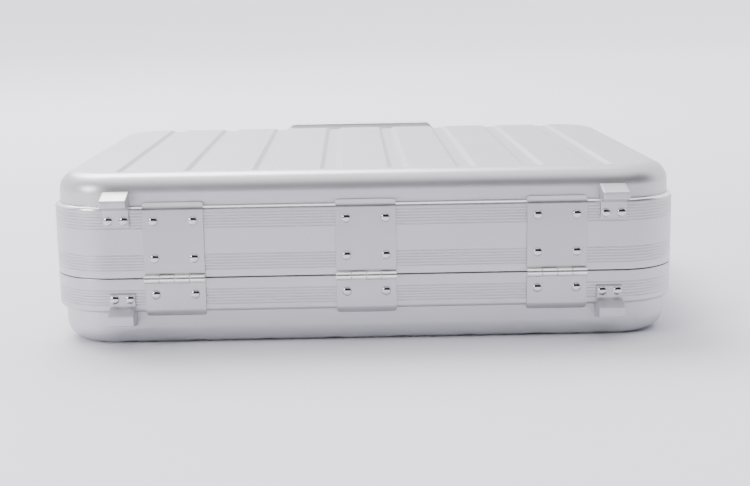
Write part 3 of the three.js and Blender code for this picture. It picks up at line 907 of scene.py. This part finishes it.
@dataclass
class Frame:
    """An extruded rail round the case, with its ribs, rim, seam flange and tongue or groove.

    side is 1 for the lid's frame, whose rim is up, and -1 for the base's. Sizes are in millimetres.
    """

    name: str
    body: str
    side: int
    seam_z: float
    rim_z: float
    flange: float
    bands: tuple[Point, ...]
    wall: float = 2.6
    land: float = 3.4
    bevel: float = 2.8
    flange_width: float = 9.0
    rib_pitch: float = 2.1
    rib_cut: float = 0.9
    rib_depth: float = 0.35
    corner_steps: int = 14

    def _ribs(self) -> list[Point]:
        """The ribbed outer face from the seam to the rim, as inset and height above the seam."""
        outline: list[Point] = []
        for low, high in self.bands:
            count = int((high - low) / self.rib_pitch) + 1
            for i in range(count):
                middle = low + i * self.rib_pitch
                half = self.rib_cut / 2
                outline.append((0.0, middle - half))
                outline.append((self.rib_depth, middle - half * 0.35))
                outline.append((self.rib_depth, middle + half * 0.35))
                outline.append((0.0, middle + half))
        return outline

    def _section(self) -> list[Point]:
        """The rail's closed section, as inset and height above the seam."""
        height = abs(self.rim_z - self.seam_z)
        outline: list[Point] = [(0.7, 0.0), (0.2, 0.2), (0.0, 0.7)]
        outline += self._ribs()
        curve = arc((self.bevel, height - self.bevel), self.bevel, 180.0, 90.0, 5)
        outline += curve
        outline += [(self.land, height), (self.land, height - 4.0), (self.wall, height - 4.8)]
        outline += [(self.wall, self.flange + 1.0), (self.wall + 1.0, self.flange)]
        outline += [(self.flange_width - 0.3, self.flange), (self.flange_width, self.flange - 0.3)]
        outline += [(self.flange_width, 0.3), (self.flange_width - 0.3, 0.0)]
        return outline + self._joint()

    def _joint(self) -> list[Point]:
        """The tongue of the base's seam, or the groove of the lid's, from the inside outward."""
        if self.side < 0:
            return [(6.4, 0.0), (6.4, -2.6), (6.1, -2.9), (5.3, -2.9), (5.0, -2.6), (5.0, 0.0)]
        return [(7.1, 0.0), (7.1, 3.2), (4.3, 3.2), (4.3, 0.0)]

    def build(self, shop: Workshop) -> None:
        """Sweeps the section round the case and hands the rail over."""
        centre_x = WIDTH / 2 - CORNER
        centre_y = FACE - CORNER
        points = [mm(-centre_x, -FACE + d, self.seam_z + self.side * h) for d, h in self._section()]
        rail = Shape.line(self.name, points, closed=True)
        up = Vector((0, 0, 1))
        quarter = math.pi / 2
        straights = (
            mm(2 * centre_x, 0, 0),
            mm(0, 2 * centre_y, 0),
            mm(-2 * centre_x, 0, 0),
            mm(0, -2 * centre_y, 0),
        )
        turns = (mm(centre_x, -centre_y, 0), mm(centre_x, centre_y, 0), mm(-centre_x, centre_y, 0))
        for straight, centre in zip(straights, turns + (mm(-centre_x, -centre_y, 0),)):
            rail.extrude(straight)
            rail.spin(quarter, self.corner_steps, centre, up)
        rail.tidy()
        shop.dress(rail, self.body, FRAME_SKIN, smooth=30.0)


@dataclass
class Hinge:
    """A butt hinge: two bent leaves with rolled knuckles on one pin. Sizes are in millimetres."""

    side_name: str
    x: float
    width: float = 43.0
    barrel: float = 3.15
    pin: float = 1.5
    knuckles: int = 4
    gap: float = 0.35
    rivet_x: float = 14.0

    def build(self, shop: Workshop) -> None:
        """Models both leaves and the pin."""
        upper = [(169.35, 103.9), (171.3, 102.1), (172.25, 100.9), (172.8, 99.4)]
        lower = [(169.5, 23.6), (171.3, 25.6), (172.25, 26.9), (172.8, 28.4)]
        self._leaf(shop, "hinge_upper_leaf_", "lid", upper, 1)
        self._leaf(shop, "hinge_lower_leaf_", "lower_half", lower, -1)
        self._pin(shop)

    def _leaf(self, shop: Workshop, stem: str, body: str, bend: Sequence[Point], side: int) -> None:
        """One leaf: its bent tip, its plate and the knuckles that it rolls round the pin."""
        name = stem + self.side_name
        roll = arc((AXIS_Y, AXIS_Z), self.barrel, 180.0, 180.0 + side * 305.0, 26)
        line = [*bend, (172.85, AXIS_Z + side * 3.6), *roll]
        low = self.x - self.width / 2
        leaf = Shape.line(name, [mm(low, y, z) for y, z in line])
        leaf.extrude(mm(self.width, 0, 0))
        each = self.width / self.knuckles
        cuts = [low + each * i for i in range(1, self.knuckles)]
        for place in cuts:
            leaf.cut(mm(place - self.gap / 2, 0, 0), Vector((1, 0, 0)))
            leaf.cut(mm(place + self.gap / 2, 0, 0), Vector((1, 0, 0)))
        kept = 1 if side > 0 else 0
        clear_z = AXIS_Z + side * 3.55

        def foreign(place: Vector, _: Vector) -> bool:
            """True for what belongs to the other leaf, or to a gap between knuckles."""
            x, _, z = place / MM
            if (z - clear_z) * side > 0:
                return False
            share = (x - low) / each
            between = min(abs(x - cut) for cut in cuts) < self.gap / 2
            return int(share) % 2 != kept or between

        leaf.select(Part.FACES, foreign).delete(Part.FACES)
        self._round_tip(leaf, bend[0], low)
        leaf.tidy()
        self._face_out(leaf)
        leaf.thicken(LEAF * MM)
        leaf.soften(0.22 * MM, 2, 40.0)
        shop.dress(leaf, body, HINGE_SKIN, smooth=40.0)

    def _round_tip(self, leaf: Shape, tip: Point, low: float) -> None:
        """Rounds the two corners of the bent tip."""
        ends = [mm(low, *tip), mm(low + self.width, *tip)]
        leaf.select(Part.VERTS, lambda p, _: min((p - e).length for e in ends) < 2e-5)
        leaf.bevel(2.4 * MM, 5, corners=True)

    @staticmethod
    def _face_out(leaf: Shape) -> None:
        """Turns the leaf's sheet so that its thickness grows toward +Y on the plate."""
        mesh = bmesh.from_edit_mesh(leaf.object.data)
        widest = max(mesh.faces, key=lambda face: face.calc_area() * abs(face.normal.y))
        if widest.normal.y > 0:
            leaf.flip()

    def _pin(self, shop: Workshop) -> None:
        """The pin, with a small peened head at each end."""
        half = self.width / 2 - 0.3
        pin = Shape.rod(
            "hinge_pin_" + self.side_name,
            self.pin * MM,
            mm(self.x - half, AXIS_Y, AXIS_Z),
            mm(self.x + half, AXIS_Y, AXIS_Z),
        )
        pin.select(Part.FACES, lambda _, n: abs(n.x) > 0.9)
        bpy.ops.mesh.inset(thickness=0.35 * MM, depth=0.25 * MM, use_individual=True)
        shop.dress(pin, "lower_half", RIVET_SKIN, smooth=50.0)


@dataclass
class RivetSet:
    """Dome-head rivets of one CAD node, in millimetres. side is 1 on the hinge side and -1 in front."""

    name: str
    body: str
    side: int
    seat: float
    places: tuple[Point, ...]
    radius: float = 3.3
    height: float = 1.8
    rim: float = 0.3

    def build(self, shop: Workshop) -> None:
        """Models one head, copies it to every place and joins the set."""
        master = self._head(self.name)
        rest = self.places[1:]
        twins = [
            master.copy(f"{self.name}_{i}", mm(x - self.places[0][0], 0, z - self.places[0][1]))
            for i, (x, z) in enumerate(rest)
        ]
        master.union(twins)
        shop.dress(master, self.body, RIVET_SKIN, smooth=45.0)

    def _head(self, name: str) -> Shape:
        """One dome on its short rim, at the first place."""
        Shape._clear()
        bpy.ops.mesh.primitive_uv_sphere_add(segments=28, ring_count=16, radius=self.radius * MM)
        head = Shape(name)
        head.cut(Vector((0, 0, 0)), Vector((0, 0, 1)), below=True)
        head.everything()
        head.resize((1.0, 1.0, (self.height - self.rim) / self.radius), Vector((0, 0, 0)))
        head.boundary().extrude(mm(0, 0, -self.rim))
        head.fill().everything()
        bpy.ops.transform.rotate(
            value=self.side * math.pi / 2, orient_axis="X", center_override=(0, 0, 0)
        )
        head.tidy()
        x, z = self.places[0]
        mesh = bmesh.from_edit_mesh(head.object.data)
        tip = max(mesh.verts, key=lambda vert: abs(vert.co.y)).co.y
        if tip * self.side < 0:
            head.resize((1.0, -1.0, 1.0), Vector((0, 0, 0)))
            bpy.ops.mesh.flip_normals()
        head.everything()
        return head.move(mm(x, self.side * (self.seat + self.rim), z))


@dataclass
class Foot:
    """A cast standing foot on the hinge side, from its section in millimetres."""

    name: str
    body: str
    x: float
    section: tuple[Point, ...]
    width: float = 18.6

    def build(self, shop: Workshop) -> None:
        """Models the foot with rounded edges."""
        half = self.width / 2
        foot = prism(self.name, self.section, self.x - half, self.x + half)
        foot.soften(0.7 * MM, 3, 20.0)
        shop.dress(foot, self.body, FOOT_SKIN, smooth=40.0)


def plate(name: str, low: Vector, high: Vector, corner: float, axis: int) -> Shape:
    """A flat plate with rounded corners.

    Args:
        name: the object's name.
        low: its lowest corner in metres.
        high: its highest corner in metres.
        corner: the corners' radius in millimetres.
        axis: 0, 1 or 2 for the axis through its thickness.

    Returns:
        The shape.
    """
    shape = Shape.block(name, low, high)
    shape.select(Part.EDGES, lambda _, way: abs(way[axis]) > 0.99)
    return shape.bevel(corner * MM, 6)


def carve(shape: Shape, cutter: Shape) -> Shape:
    """Cuts one shape out of another, and drops the cutter."""
    cutter.close()
    shape.reopen()
    shape.modify("BOOLEAN", operation="DIFFERENCE", object=cutter.object, solver="EXACT")
    shape.close()
    bpy.data.objects.remove(cutter.object)
    return shape.reopen()


@dataclass
class Handle:
    """The folded carry handle on the front of the lid: bow, pad, brackets and pins, in millimetres."""

    pivot_y: float = -182.5
    pivot_z: float = 70.0
    half: float = 72.0
    leg: float = 14.0
    top: float = 57.0
    bar: float = 15.0
    chamfer: float = 7.0
    pin: float = 2.5
    hole: float = 2.85

    def build(self, shop: Workshop) -> None:
        """Models every part of the handle."""
        self._bow(shop)
        self._pad(shop)
        for side_name, sign in SIDES:
            self._bracket(shop, side_name, sign * (self.half - self.leg / 2))

    def _bow(self, shop: Workshop) -> None:
        """The bow: one bent bar with cranked legs, chamfered at its top corners."""
        outer = [(-4.5, -5), (4.5, -5), (4.5, 6), (7.5, 14)]
        inner_side = [(-2.5, 14), (-4.5, 8)]
        side = outer + [(7.5, self.top), (-2.5, self.top)] + inner_side
        section = [(self.pivot_y + y, self.pivot_z + z) for y, z in side]
        bow = prism("handle_bow", section, -self.half, self.half)
        inner = self.half - self.leg
        window = plate(
            "handle_window",
            mm(-inner, self.pivot_y - 20, self.pivot_z - 30),
            mm(inner, self.pivot_y + 20, self.pivot_z + self.top - self.bar),
            5.0,
            1,
        )
        carve(bow, window)
        hole = Shape.rod(
            "handle_hole",
            self.hole * MM,
            mm(-self.half - 5, self.pivot_y, self.pivot_z),
            mm(self.half + 5, self.pivot_y, self.pivot_z),
        )
        carve(bow, hole)
        for sign in (-1, 1):
            corner = mm(sign * (self.half - self.chamfer), self.pivot_y, self.pivot_z + self.top)
            bow.cut(corner, Vector((sign, 0, 1)).normalized(), above=True)
            bow.boundary().fill()
        bow.tidy()
        bow.soften(1.5 * MM, 4, 28.0)
        shop.dress(bow, "handle", HANDLE_SKIN, smooth=40.0)

    def _pad(self, shop: Workshop) -> None:
        """The soft pad under the bar, with a row of finger grooves."""
        half = self.half - self.leg - 6
        top = self.pivot_z + self.top - self.bar - 0.3
        y = self.pivot_y
        section = [(y - 3.5, top), (y - 1.5, top - 4), (y + 6.5, top - 4), (y + 8.5, top)]
        pad = prism("handle_pad", section, -half, half)
        pitch = 2 * half / 24
        for i in range(1, 24):
            pad.cut(mm(-half + i * pitch, 0, 0), Vector((1, 0, 0)))

        def groove(place: Vector, _: Vector) -> bool:
            """True for the lower points of every second cut."""
            index = round((place.x / MM + half) / pitch)
            return index % 2 == 1 and place.z < (top - 2) * MM

        pad.select(Part.VERTS, groove)
        pad.move(mm(0, 0, 0.7))
        pad.soften(0.5 * MM, 2, 25.0)
        shop.dress(pad, "handle", PAD_SKIN, smooth=60.0)

    def _bracket(self, shop: Workshop, side_name: str, centre: float) -> None:
        """One riveted bracket with two ears, and its pin."""
        name = "handle_bracket_" + side_name
        base = plate(
            name,
            mm(centre - 21.5, -LEAF_IN - LEAF, self.pivot_z - 12),
            mm(centre + 21.5, -LEAF_IN, self.pivot_z + 12),
            4.0,
            1,
        )
        base.soften(0.35 * MM, 2)
        ears = []
        for sign in (-1, 1):
            near, far = sorted((centre + sign * 7.5, centre + sign * 10.1))
            ear = Shape.block(
                name + "_ear",
                mm(near, self.pivot_y - 6.5, self.pivot_z - 7.5),
                mm(far, -LEAF_IN - 0.5, self.pivot_z + 7.5),
            )
            outer = (self.pivot_y - 6.5) * MM
            ear.select(Part.EDGES, lambda p, way: abs(way.x) > 0.99 and abs(p.y - outer) < 1e-5)
            ear.bevel(6.2 * MM, 8)
            ear.soften(0.3 * MM, 2)
            ears.append(ear)
        base.union(ears)
        shop.dress(base, "lid", LATCH_SKIN, smooth=40.0)
        reach = 10.9
        pin = Shape.rod(
            "handle_pin_" + side_name,
            self.pin * MM,
            mm(centre - reach, self.pivot_y, self.pivot_z),
            mm(centre + reach, self.pivot_y, self.pivot_z),
        )
        pin.soften(0.5 * MM, 3, 60.0)
        shop.dress(pin, "lid", RIVET_SKIN, smooth=40.0)


@dataclass
class Latch:
    """A draw latch: riveted base, lever, claw and the keeper below it, in millimetres."""

    side_name: str
    x: float
    pivot_y: float = -181.0
    pivot_z: float = 61.0

    def _at(self, x: float, y: float, z: float) -> Vector:
        """A place measured from the lever's pivot."""
        return mm(self.x + x, self.pivot_y + y, self.pivot_z + z)

    def _section(self, points: Sequence[Point]) -> list[Point]:
        """A section measured from the lever's pivot."""
        return [(self.pivot_y + y, self.pivot_z + z) for y, z in points]

    def build(self, shop: Workshop) -> None:
        """Models the four parts."""
        self._base(shop)
        self._lever(shop)
        self._claw(shop)
        self._keeper(shop)

    def _base(self, shop: Workshop) -> None:
        """The base plate with two ears and their stub pins."""
        face = -LEAF_IN - self.pivot_y
        name = "latch_base_" + self.side_name
        base = plate(name, self._at(-15, face - LEAF, -7.8), self._at(15, face, 36), 3.0, 1)
        base.soften(0.35 * MM, 2)
        extras = []
        for sign in (-1, 1):
            near, far = sorted((sign * 13.5, sign * 15.0))
            ear = Shape.block(name + "_ear", self._at(near, -3.2, -4.5), self._at(far, face - 0.5, 6))
            outer = (self.pivot_y - 3.2) * MM
            ear.select(Part.EDGES, lambda p, way: abs(way.x) > 0.99 and abs(p.y - outer) < 1e-5)
            ear.bevel(3.0 * MM, 6)
            root, tip = self._at(sign * 8.9, 0, 0), self._at(sign * 15.8, 0, 0)
            stub = Shape.rod(name + "_stub", 1.6 * MM, root, tip)
            stub.soften(0.3 * MM, 2, 60.0)
            extras += [ear, stub]
        base.union(extras)
        shop.dress(base, "lid", LATCH_SKIN, smooth=40.0)

    def _lever(self, shop: Workshop) -> None:
        """The lever's bent face with its finger lip, and its two cheeks."""
        back = [(-4.5, 10), (-2.5, 10), (-2.5, 32.6), (-3.0, 35.2)]
        face = back + [(-4.2, 38), (-6.8, 37), (-5.2, 34.4), (-4.5, 32)]
        name = "latch_lever_" + self.side_name
        lever = prism(name, self._section(face), self.x - 13, self.x + 13)
        lever.soften(0.5 * MM, 3, 25.0)
        cheek = [(-4.5, -4), (3, -4), (3.2, 9), (1, 18), (-4.5, 18)]
        cheeks = []
        for sign in (-1, 1):
            near, far = sorted((self.x + sign * 8.8, self.x + sign * 11.0))
            side = prism(name + "_cheek", self._section(cheek), near, far)
            side.select(Part.EDGES, lambda _, way: abs(way.x) > 0.99).bevel(1.4 * MM, 4)
            cheeks.append(side)
        lever.union(cheeks)
        shop.dress(lever, "latch_lever_" + self.side_name, LATCH_SKIN, smooth=40.0)

    def _claw(self, shop: Workshop) -> None:
        """The claw: an eye rolled round its pin, a flat tongue and a hooked end."""
        eye = arc((1.2, 6.5), 3.0, 0.0, -290.0, 20)
        line = [(0.9, -24.9), (4.0, -24.9), (4.2, -24.0), *eye]
        claw = Shape.line(
            "latch_claw_" + self.side_name,
            [mm(self.x - 8, y, z) for y, z in self._section(line)],
        )
        claw.extrude(mm(16, 0, 0)).tidy()
        mesh = bmesh.from_edit_mesh(claw.object.data)
        tongue = max(mesh.faces, key=lambda each: each.calc_area())
        if tongue.normal.y < 0:
            claw.flip()
        claw.thicken(1.3 * MM)
        claw.soften(0.25 * MM, 2, 50.0)
        shop.dress(claw, "latch_claw_" + self.side_name, LATCH_SKIN, smooth=40.0)

    def _keeper(self, shop: Workshop) -> None:
        """The keeper plate with the hook that the claw catches."""
        low = mm(self.x - 13, -LEAF_IN - LEAF, 29.5)
        keeper = plate("latch_keeper_" + self.side_name, low, mm(self.x + 13, -LEAF_IN, 44), 2.5, 1)
        keeper.soften(0.35 * MM, 2)
        lip = Shape.block(
            "latch_keeper_lip", mm(self.x - 8, -176.4, 39), mm(self.x + 8, -LEAF_IN - 0.4, 41.5)
        )
        lip.soften(0.5 * MM, 3)
        keeper.union([lip])
        shop.dress(keeper, "lower_half", LATCH_SKIN, smooth=40.0)


@dataclass
class Inserts:
    """The moulded chip inserts, flocked all over, in millimetres."""

    half: float = 209.0
    half_y: float = 159.0
    corner: float = 16.0
    floor_z: float = 4.6
    deck_z: float = 33.5
    split: float = 31.8
    gap: float = 0.3
    end: float = 7.0
    radius: float = 20.2
    axis_z: float = 28.5
    pitch: float = 43.0
    edge: float = 4.1
    channels: int = 4

    def build(self, shop: Workshop) -> None:
        """Models the three inserts."""
        reach = self.half_y - self.end
        for side_name, sign in SIDES:
            low, high = sorted((sign * (self.split + self.gap), sign * self.half))
            insert = self._block("chip_tray_" + side_name, low, high)
            for i in range(self.channels):
                x = sign * (self.half - self.edge - self.pitch / 2 - i * self.pitch)
                outline = [(x + self.radius, 50.0), (x - self.radius, 50.0)]
                outline += arc((x, self.axis_z), self.radius, 180.0, 360.0, 24)
                cutter = Shape.line("channel", [mm(px, -reach, pz) for px, pz in outline], closed=True)
                cutter.fill().extrude(mm(0, 2 * reach, 0)).tidy()
                carve(insert, cutter)
            insert.soften(1.1 * MM, 3, 40.0)
            shop.dress(insert, "lower_half", TRAY_SKIN, smooth=50.0)
        middle = self._block("chip_tray_middle", -self.split, self.split)
        well = plate("well", mm(-30, -reach, 8), mm(30, reach, 60), 4.0, 2)
        carve(middle, well)
        middle.soften(0.7 * MM, 3, 40.0)
        shop.dress(middle, "lower_half", TRAY_SKIN, smooth=50.0)

    def _block(self, name: str, low: float, high: float) -> Shape:
        """An insert's block, with the case's corners rounded."""
        block = Shape.block(name, mm(low, -self.half_y, self.floor_z), mm(high, self.half_y, self.deck_z))
        outer = (self.half - 1) * MM
        block.select(Part.EDGES, lambda p, way: abs(way.z) > 0.99 and abs(p.x) > outer)
        if max(abs(low), abs(high)) >= self.half:
            block.bevel(self.corner * MM, 8)
        return block


@dataclass
class LidPad:
    """The egg-crate foam pad in the lid and the cloth-faced board behind it, in millimetres."""

    half: float = 208.5
    half_y: float = 158.0
    low: float = 53.5
    high: float = 80.0
    board: float = 3.0
    corner: float = 30.0
    cell: float = 7.5
    dip: float = 11.0
    border: float = 10.0

    def build(self, shop: Workshop) -> None:
        """Models the foam and the board."""
        low_corner = mm(-self.half, -self.half_y, self.low)
        high_corner = mm(self.half, self.half_y, self.high)
        foam = plate("lid_foam", low_corner, high_corner, self.corner, 2)
        across = int(2 * self.half / self.cell)
        along = int(2 * self.half_y / self.cell)
        step_x = 2 * self.half / across
        step_y = 2 * self.half_y / along
        for i in range(1, across):
            foam.cut(mm(-self.half + i * step_x, 0, 0), Vector((1, 0, 0)))
        for i in range(1, along):
            foam.cut(mm(0, -self.half_y + i * step_y, 0), Vector((0, 1, 0)))

        def level(place: Vector) -> float:
            """How far the egg-crate wave dips at a crossing, from 0 at its peaks to 1 in its pits."""
            x, y, z = place / MM
            if z > self.low + 1 or abs(x) > self.half - self.border or abs(y) > self.half_y - self.border:
                return -1.0
            i = round((x + self.half) / step_x)
            j = round((y + self.half_y) / step_y)
            return (1.0 + math.sin(i * math.pi / 2) * math.sin(j * math.pi / 2)) / 2

        for share in (0.5, 1.0):
            foam.select(Part.VERTS, lambda place, _: abs(level(place) - share) < 0.01)
            foam.move(mm(0, 0, self.dip * share))
        low = self.low * MM
        foam.select(
            Part.EDGES,
            lambda p, _: p.z > low + 12 * MM
            or abs(p.x) > (self.half - 1) * MM
            or abs(p.y) > (self.half_y - 1) * MM,
        )
        bpy.ops.transform.edge_crease(value=1.0)
        foam.modify("SUBSURF", levels=1, render_levels=1)
        piece = shop.dress(foam, "lid", FOAM_SKIN, smooth=80.0)
        board = plate(
            "lid_board",
            mm(-self.half, -self.half_y, self.high + 0.3),
            mm(self.half, self.half_y, self.high + 0.3 + self.board),
            self.corner,
            2,
        )
        board.soften(0.8 * MM, 3)
        shop.dress(board, "lid", BOARD_SKIN, smooth=40.0)


# ---------------------------------------------------------------- carried-over nodes, stage and camera


def restyle(shop: Workshop, stem: str, finish: Finish, width: float) -> None:
    """Gives CAD nodes a finish and soft edges, without touching their meshes.

    Args:
        shop: the workshop.
        stem: how the nodes' names begin.
        finish: their finish.
        width: the width of their rounded edges in millimetres.
    """
    for name, node in sorted(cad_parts.items()):
        if not name.startswith(stem):
            continue
        node.data.materials.clear()
        node.data.materials.append(shop.material(finish))
        bevel = node.modifiers.new("soft_edges", "BEVEL")
        bevel.width = width * MM
        bevel.segments = 2
        bevel.limit_method = "ANGLE"
        bevel.angle_limit = math.radians(50.0)
        log.info("%s restyled as %s", name, finish.name)


@dataclass
class Stage:
    """The pale floor, the studio light and the camera."""

    floor_colour: tuple[float, float, float] = (0.85, 0.836, 0.90)
    floor_glow: float = 1.2
    near_glow: float = 0.0
    room: float = 2.0
    lens: float = 61.9
    eye: tuple[float, float, float] = (0.0098, 1.0765, 0.2425)
    dip: float = 0.185
    turn: float = 0.018
    roll: float = 0.015

    def build(self) -> None:
        """Sets up the whole stage."""
        self._floor()
        self._world()
        self._light("key", (0.9, -1.5, 2.6), 2.0, 150.0)
        self._light("front", (1.9, 1.5, 1.0), 0.7, 34.0)
        self._camera()

    def _floor(self) -> None:
        """A wide plain floor under the case, curving up into a backdrop far behind it."""
        floor_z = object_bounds()[0].z
        bend = arc((-5.0, floor_z + 2.0), 2.0, 270.0, 180.0, 12)
        line = [(12.0, floor_z), *bend, (-7.0, 8.0)]
        sweep = Shape.line("floor", [Vector((-14.0, y, z)) for y, z in line])
        sweep.extrude(Vector((28.0, 0, 0)))
        sweep.close()
        bpy.ops.object.shade_smooth()
        material = bpy.data.materials.new("floor_paper")
        material.use_nodes = True
        recipe = Recipe(material.node_tree)
        grain = recipe.noise(recipe.place(), 3.0, 3.0, 0.5)
        low = tuple(c * 0.985 for c in self.floor_colour)
        near = tuple(c * self.near_glow for c in self.floor_colour)
        behind = recipe.node("SeparateXYZ", values={"Vector": recipe.place()}, out=1)
        distance = behind * -0.3 - 0.15
        recipe.surface(
            {
                "Base Color": recipe.ramp(grain, [(0.3, low), (0.7, self.floor_colour)]),
                "Roughness": 0.8,
                "Specular IOR Level": 0.2,
                "Emission Color": recipe.ramp(distance, [(0.0, near), (1.0, self.floor_colour)]),
                "Emission Strength": self.floor_glow,
            }
        )
        sweep.object.data.materials.append(material)
        sweep.object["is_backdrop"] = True

    def _world(self) -> None:
        """A soft room: pale all round, with a dark part that gives polished metal its contrast."""
        world = bpy.data.worlds.new("studio")
        world.use_nodes = True
        bpy.context.scene.world = world
        recipe = Recipe(world.node_tree)
        where = recipe.node("TexCoord", out="Generated")
        parts = recipe.node("SeparateXYZ", values={"Vector": where}, out=0)
        node = parts.socket.node
        ahead = Wire(recipe.tree, node.outputs[1])
        height = Wire(recipe.tree, node.outputs[2])
        black = (0.0, 0.0, 0.0)
        white = (1.0, 1.0, 1.0)
        band = recipe.ramp(height, [(0.0, black), (0.05, white), (0.66, white), (0.88, black)])
        behind = recipe.ramp(ahead, [(0.0, black), (0.12, white)])
        tint = recipe.blend(band * behind, (1.0, 1.0, 1.03), (0.03, 0.03, 0.032))
        background = recipe.node("Background", values={"Color": tint, "Strength": self.room})
        output = recipe.tree.nodes.new("ShaderNodeOutputWorld")
        recipe.tree.links.new(background.socket, output.inputs["Surface"])

    @staticmethod
    def _light(name: str, place: Sequence[float], size: float, power: float) -> None:
        """A square soft light aimed at the case."""
        data = bpy.data.lights.new(name, "AREA")
        data.size = size
        data.energy = power
        light = bpy.data.objects.new(name, data)
        bpy.context.scene.collection.objects.link(light)
        light.location = place
        aim = Vector((0, 0, 0.06)) - Vector(place)
        light.rotation_euler = aim.to_track_quat("-Z", "Y").to_euler()

    def _camera(self) -> None:
        """The camera, looking down at the hinge side."""
        data = bpy.data.cameras.new("camera")
        data.lens = self.lens
        data.dof.use_dof = False
        camera = bpy.data.objects.new("camera", data)
        bpy.context.scene.collection.objects.link(camera)
        ahead = Vector((-self.turn * math.cos(self.dip), -math.cos(self.dip), -math.sin(self.dip)))
        look = ahead.to_track_quat("-Z", "Y").to_matrix().to_4x4()
        camera.matrix_world = Matrix.Translation(self.eye) @ look @ Matrix.Rotation(-self.roll, 4, "Z")
        bpy.context.scene.camera = camera


HINGE_XS = (-136.5, 0.0, 136.5)
HANDLE_BRACKET_X = 65.0
LATCH_X = 140.0
UPPER_FOOT_X = 176.6
LOWER_FOOT_X = 174.7
UPPER_FOOT = (
    (172.8, 88.5),
    (174.6, 88.5),
    (174.6, 100.5),
    (186.0, 103.6),
    (186.0, 108.8),
    (169.2, 113.2),
    (169.2, 103.0),
    (172.8, 99.8),
)
LOWER_FOOT = (
    (172.8, 39.5),
    (174.6, 39.5),
    (174.6, 30.5),
    (186.0, 25.9),
    (186.0, 18.9),
    (168.5, 15.2),
    (168.5, 25.2),
    (169.7, 25.2),
    (172.8, 28.0),
)


def rivet_sets() -> list[RivetSet]:
    """Every rivet set, from the places of the plates they hold."""
    hinge_x = [x + s * 14.0 for x in HINGE_XS for s in (-1, 1)]
    handle_x = [x + s * 16.6 for x in (-HANDLE_BRACKET_X, HANDLE_BRACKET_X) for s in (-1, 1)]
    seat = FACE + 0.3 + LEAF
    sets = [
        RivetSet("upper_hinge_rivets", "lid", 1, seat, tuple((x, z) for x in hinge_x for z in (65.0, 92.0))),
        RivetSet("lower_hinge_rivets", "lower_half", 1, seat, tuple((x, 38.8) for x in hinge_x)),
        RivetSet("handle_rivets", "lid", -1, seat, tuple((x, z) for x in handle_x for z in (63.0, 77.0))),
    ]
    for name, s in SIDES:
        upper = tuple((s * UPPER_FOOT_X + d, 92.7) for d in (-5.5, 5.5))
        lower = tuple((s * LOWER_FOOT_X + d, 35.8) for d in (-5.5, 5.5))
        latch = tuple((s * LATCH_X, z) for z in (78.0, 91.0))
        keeper = tuple((s * LATCH_X + d, 34.0) for d in (-8.0, 8.0))
        sets.append(RivetSet("upper_foot_rivets_" + name, "lid", 1, seat + 0.3, upper))
        sets.append(RivetSet("lower_foot_rivets_" + name, "lower_half", 1, seat + 0.3, lower))
        sets.append(RivetSet("latch_rivets_" + name, "lid", -1, seat, latch))
        sets.append(RivetSet("keeper_rivets_" + name, "lower_half", -1, seat, keeper))
    return sets


def main() -> None:
    """Builds the whole case, then the stage."""
    logging.basicConfig(level=logging.INFO, format="%(message)s")
    shop = Workshop()
    Pan("upper_shell", "lid", 1, 3.7, 57.7, TOP_Z).build(shop)
    Pan("lower_shell", "lower_half", -1, 4.4, 45.7, 0.0).build(shop)
    bands = ((5.9, 17.6), (36.0, 47.6))
    Frame("upper_frame", "lid", 1, SEAM_Z + SEAM_GAP, UPPER_RIM_Z, 6.6, bands).build(shop)
    Frame("lower_frame", "lower_half", -1, SEAM_Z, LOWER_RIM_Z, 4.4, ((8.6, 20.3),)).build(shop)
    for side_name, x in zip(("left", "middle", "right"), HINGE_XS):
        Hinge(side_name, x).build(shop)
    for rivets in rivet_sets():
        rivets.build(shop)
    for side_name, s in SIDES:
        Foot("upper_foot_" + side_name, "lid", s * UPPER_FOOT_X, UPPER_FOOT).build(shop)
        Foot("lower_foot_" + side_name, "lower_half", s * LOWER_FOOT_X, LOWER_FOOT).build(shop)
        Latch(side_name, s * LATCH_X).build(shop)
    Handle().build(shop)
    Inserts().build(shop)
    LidPad().build(shop)
    restyle(shop, "stay_", STAY_SKIN, 0.3)
    restyle(shop, "latch_claw_pin_", RIVET_SKIN, 0.2)
    log.info("%d new pieces", shop.made)
    Stage().build()


if __name__ == "__main__":
    main()
